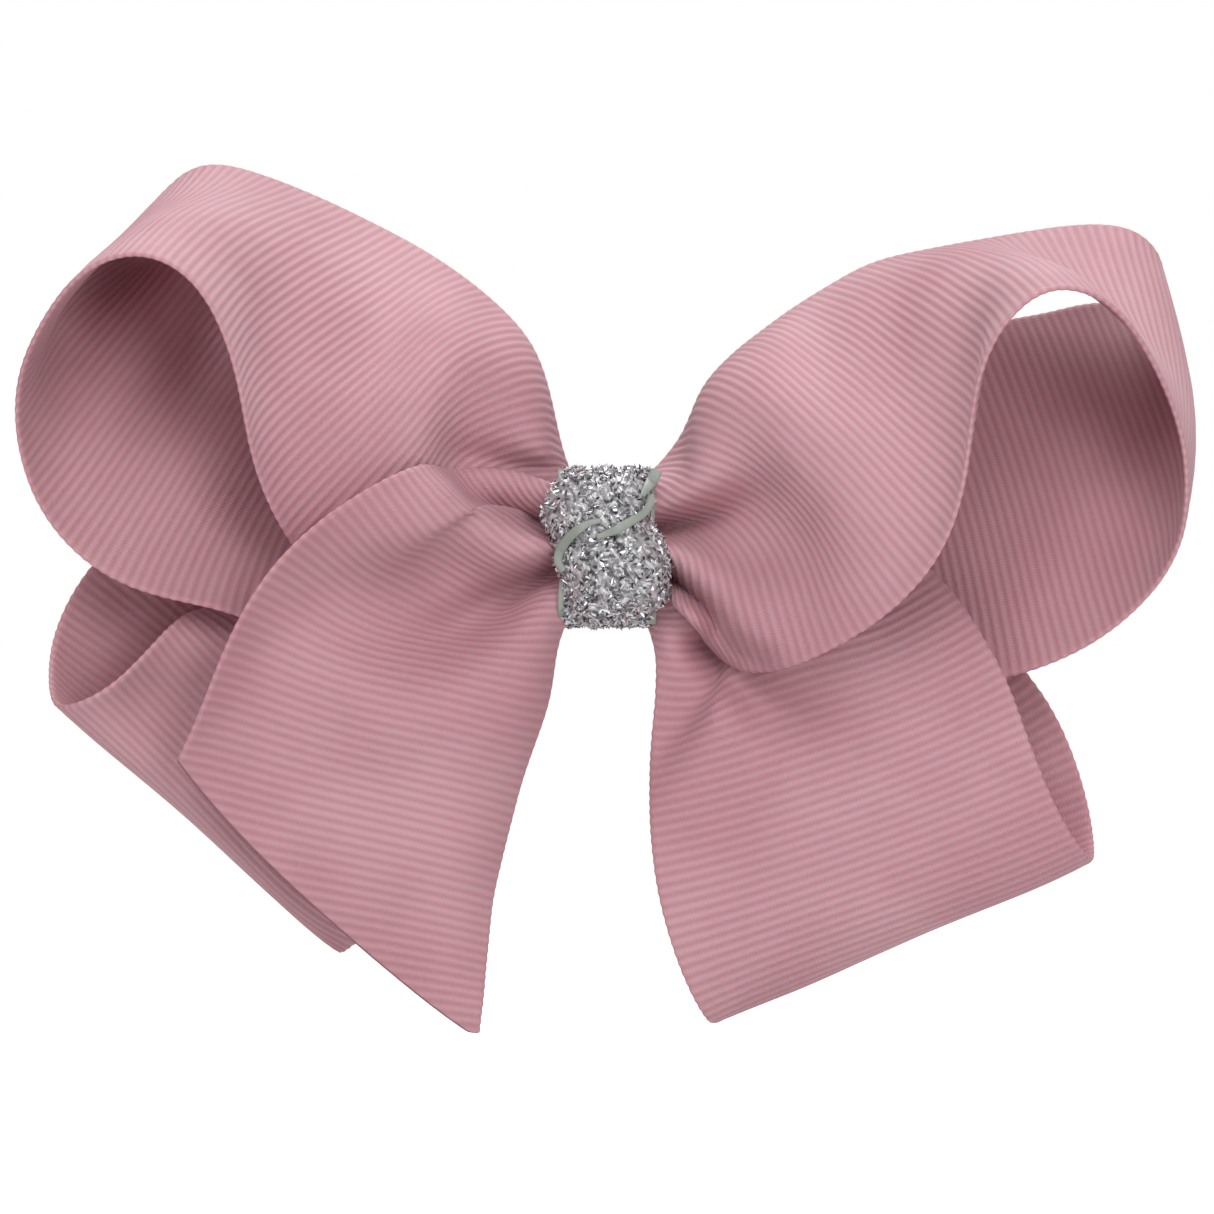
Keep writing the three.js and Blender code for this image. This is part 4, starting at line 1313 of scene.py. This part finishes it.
def scatter(rng, points, out, wrap_rows, wrap_cols):
    """Even random places on a grid of points, with the directions out there."""
    if wrap_rows:
        points = np.concatenate([points, points[:1]])
        out = np.concatenate([out, out[:1]])
    if wrap_cols:
        points = np.concatenate([points, points[:, :1]], 1)
        out = np.concatenate([out, out[:, :1]], 1)
    a, b, c = points[:-1, :-1], points[1:, :-1], points[:-1, 1:]
    area = np.linalg.norm(np.cross(b - a, c - a), axis=-1).ravel()
    count = int(area.sum() * FLAKES_PER_MM2)
    cell = rng.choice(len(area), count, p=area / area.sum())
    i, j = np.divmod(cell, a.shape[1])
    f, g = rng.random((2, count, 1))
    place = points[i, j] * (1 - f) * (1 - g) + points[i + 1, j] * f * (1 - g)
    place = place + points[i, j + 1] * (1 - f) * g + points[i + 1, j + 1] * f * g
    return place, out[i, j]


def make_flakes(name, place, out, rng):
    """Small plates lying on a surface at random slopes, each of one tone."""
    count = len(place)
    tilt = unit(out + rng.normal(0, FLAKE_TILT, (count, 3)))
    side = unit(np.cross(tilt, rng.normal(size=(count, 3))))
    other = np.cross(tilt, side)
    long_half = rng.uniform(*FLAKE_LONG, (count, 1)) / 2
    wide_half = rng.uniform(*FLAKE_WIDE, (count, 1)) / 2
    middle = place + out * rng.uniform(0.02, 0.2, (count, 1))
    corners = []
    for top in (FLAKE_T, 0.0):
        for along_it, across_it in ((1, 0.3), (0.2, 1), (-1, -0.2), (-0.3, -1)):
            corner = middle + side * long_half * along_it + other * wide_half * across_it + tilt * top
            corners.append(corner)
    points = np.stack(corners, 1).reshape(-1, 3)
    plate = np.array([
        (0, 1, 2, 3), (7, 6, 5, 4), (0, 4, 5, 1), (1, 5, 6, 2), (2, 6, 7, 3), (3, 7, 4, 0),
    ])
    faces = (plate[None] + 8 * np.arange(count)[:, None, None]).reshape(-1, 4).tolist()
    obj = mesh_object(name, points, faces, smooth=False)
    tones = TONES[rng.choice(len(TONES), count, p=TONE_SHARES)] * rng.uniform(0.85, 1.05, (count, 1))
    colours = np.c_[np.clip(tones, 0, 1), np.ones(count)]
    layer = obj.data.color_attributes.new("tone", "FLOAT_COLOR", "POINT")
    layer.data.foreach_set("color", np.repeat(colours, 8, axis=0).ravel())
    finish_piece(obj, BOW_BODY, "flakes")


def make_centre():
    rng = np.random.default_rng(SEED)
    band, band_out = make_band()
    place, out = scatter(rng, band[:, 2:-2], band_out[:, 2:-2], True, False)
    make_flakes("band_glitter_flakes", place, out, rng)
    surfaces, places, outs = [], [], []
    for name, lobe in LOBES.items():
        outer, lobe_out = make_lobe(name, lobe)
        surfaces.append(outer)
        place, out = scatter(rng, outer, lobe_out, False, True)
        places.append(place)
        outs.append(out)
    make_edge_strips(surfaces)
    make_flakes("knot_glitter_flakes", np.concatenate(places), np.concatenate(outs), rng)


# ---- clip ---------------------------------------------------------------------------------------
STEEL_NODES = ("clip_top_plate", "clip_jaw", "hinge_pin")
ROLLED_EDGE = 0.09       # rounding of the pressed steel's edges


def dress_steel():
    for name in STEEL_NODES:
        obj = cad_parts[name]
        obj.data.materials.clear()
        obj.data.materials.append(MATERIALS["steel"])
        rounded = obj.modifiers.new("rolled_edges", "BEVEL")
        rounded.width = ROLLED_EDGE * MM
        rounded.segments = 2
        rounded.limit_method = "ANGLE"
        rounded.angle_limit = math.radians(35)


PIVOT = (10.5, 2.2)      # hinge axis (x, y)
SPRING_WIRE, SPRING_R, SPRING_LEG, SPRING_TURNS = 0.5, 1.75, 8.0, 2
SPRINGS = {
    "spring_plate_arm": dict(body=BOW_BODY, z=-1.95, rise=1.6, angle=-0.06, way=-1),
    "spring_jaw_arm": dict(body=JAW_BODY, z=1.95, rise=-1.6, angle=0.42, way=1),
}


def make_springs():
    for name, spring in SPRINGS.items():
        left = np.linspace(1, 0, 121)
        a = spring["angle"] + spring["way"] * (math.pi / 2 + 2 * math.pi * SPRING_TURNS * left)
        coil = np.c_[
            PIVOT[0] + SPRING_R * np.cos(a),
            PIVOT[1] + SPRING_R * np.sin(a),
            spring["z"] + spring["rise"] * left,
        ]
        way = np.array([math.cos(spring["angle"]), math.sin(spring["angle"]), 0])
        leg = coil[-1] + way * np.linspace(0, SPRING_LEG, 40)[1:, None]
        obj = sweep(name + "_wire", np.concatenate([coil, leg]), SPRING_WIRE / 2, sides=16)
        finish_piece(obj, spring["body"], "steel", [name])


def box_mm(node):
    return [np.array(corner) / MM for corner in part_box(node)]


def make_lining():
    low, high = box_mm("clip_lining")
    length, width = high[0] - low[0], high[2] - low[2]
    s = np.arange(0, length, RIB_PITCH / ROWS_PER_RIB)
    w = np.r_[EDGE_COLUMNS * 3, np.linspace(0.12, 0.88, 18), 1 - EDGE_COLUMNS[::-1] * 3]
    middle = np.zeros((len(s), len(w), 3))
    middle[..., 0] = low[0] + s[:, None]
    middle[..., 1] = (low[1] + high[1]) / 2 + 0.03 * np.sin(0.7 * s)[:, None]
    middle[..., 2] = low[2] + width * w
    half, share = edge_profile(np.minimum(w, 1 - w) * width)
    s_all = np.broadcast_to(s[:, None], middle.shape[:2])
    half = 0.8 * (half + ribs(s_all) * 0.1 * share)
    cut = np.minimum(s_all, length - s_all) + 0.1
    weave = np.stack([w * width + 0 * s_all, s_all, cut], -1)
    obj = sheet_mesh("clip_lining_ribbon", middle, half, weave)
    finish_piece(obj, BOW_BODY, "ribbon", ["clip_lining"])


def make_glue():
    low, high = box_mm("glue_pad")
    centre, radius = (low + high) / 2, (high[0] - low[0]) / 2
    a = np.linspace(0, 2 * np.pi, 72, endpoint=False)
    spread = 1 + 0.05 * np.sin(3 * a) + 0.03 * np.sin(7 * a + 1)
    thick = high[1] - low[1]
    rings = []
    for k in np.linspace(0, 1, 16):
        y = high[1] - thick * k
        r = radius * spread * (0.90 + 0.09 * math.sin(math.pi * k) - 0.12 * k**3)
        if k == 0 or k == 1:
            r = r * 0.96
        rings.append(np.c_[centre[0] + r * np.cos(a), np.full_like(a, y), centre[2] + r * np.sin(a)])
    obj = loft("glue_pad_blob", rings)
    correct_winding(obj)
    finish_piece(obj, BOW_BODY, "glue", ["glue_pad"])


# ---- stage and light ----------------------------------------------------------------------------
# In metres and watts.
FLOOR_BELOW = 0.030
FLOOR_SIZE = 60.0
FLOOR_GLOW = 0.75        # seen by the camera only
WORLD_LIGHT = 0.38       # of the white that the background shows
KEY_WATTS, FILL_WATTS, TOP_WATTS = 5.4, 2.8, 9.5


def make_stage():
    low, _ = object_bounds()
    z = low.z - FLOOR_BELOW
    h = FLOOR_SIZE / 2
    mesh = bpy.data.meshes.new("floor")
    mesh.from_pydata([(-h, -h, z), (h, -h, z), (h, h, z), (-h, h, z)], [], [(0, 1, 2, 3)])
    n = Nodes("pale_floor")
    n.set(Base_Color=n.mix(n.noise(3.0), (0.70, 0.70, 0.70), (0.74, 0.74, 0.74)), Roughness=0.9)
    n.set(Emission_Color=(1.0, 1.0, 1.0), Emission_Strength=n.to_camera(FLOOR_GLOW))
    mesh.materials.append(n.material)
    add_object("floor", mesh)


def area_light(name, place, target, size, watts, colour=(1, 1, 1)):
    data = bpy.data.lights.new(name, "AREA")
    data.shape = "DISK"
    data.size = size
    data.energy = watts
    data.color = colour
    obj = add_object(name, data)
    obj.location = place
    obj.rotation_euler = (Vector(target) - Vector(place)).to_track_quat("-Z", "Y").to_euler()


def make_light():
    world = bpy.data.worlds.new("studio")
    world.use_nodes = True
    tree = world.node_tree
    background = tree.nodes["Background"]
    background.inputs["Color"].default_value = (1, 1, 1, 1)
    to_camera = tree.nodes.new("ShaderNodeLightPath").outputs["Is Camera Ray"]
    strength = tree.nodes.new("ShaderNodeMapRange")
    strength.inputs["To Min"].default_value = WORLD_LIGHT
    strength.inputs["To Max"].default_value = 1.0
    tree.links.new(to_camera, strength.inputs["Value"])
    tree.links.new(strength.outputs[0], background.inputs["Strength"])
    bpy.context.scene.world = world
    bpy.context.scene.view_settings.view_transform = "Standard"
    area_light("key", (-0.10, -1.0, 0.66), (0, 0, 0), 0.7, KEY_WATTS)
    area_light("top", (0.1, 0.35, 1.1), (0, 0, 0), 0.6, TOP_WATTS)
    area_light("fill", (0.35, -1.1, 0.18), (0, 0, 0), 0.4, FILL_WATTS)


make_ribbon()
make_rear_tail()
make_waist()
make_thread()
make_centre()
dress_steel()
make_springs()
make_lining()
make_glue()
make_stage()
make_light()
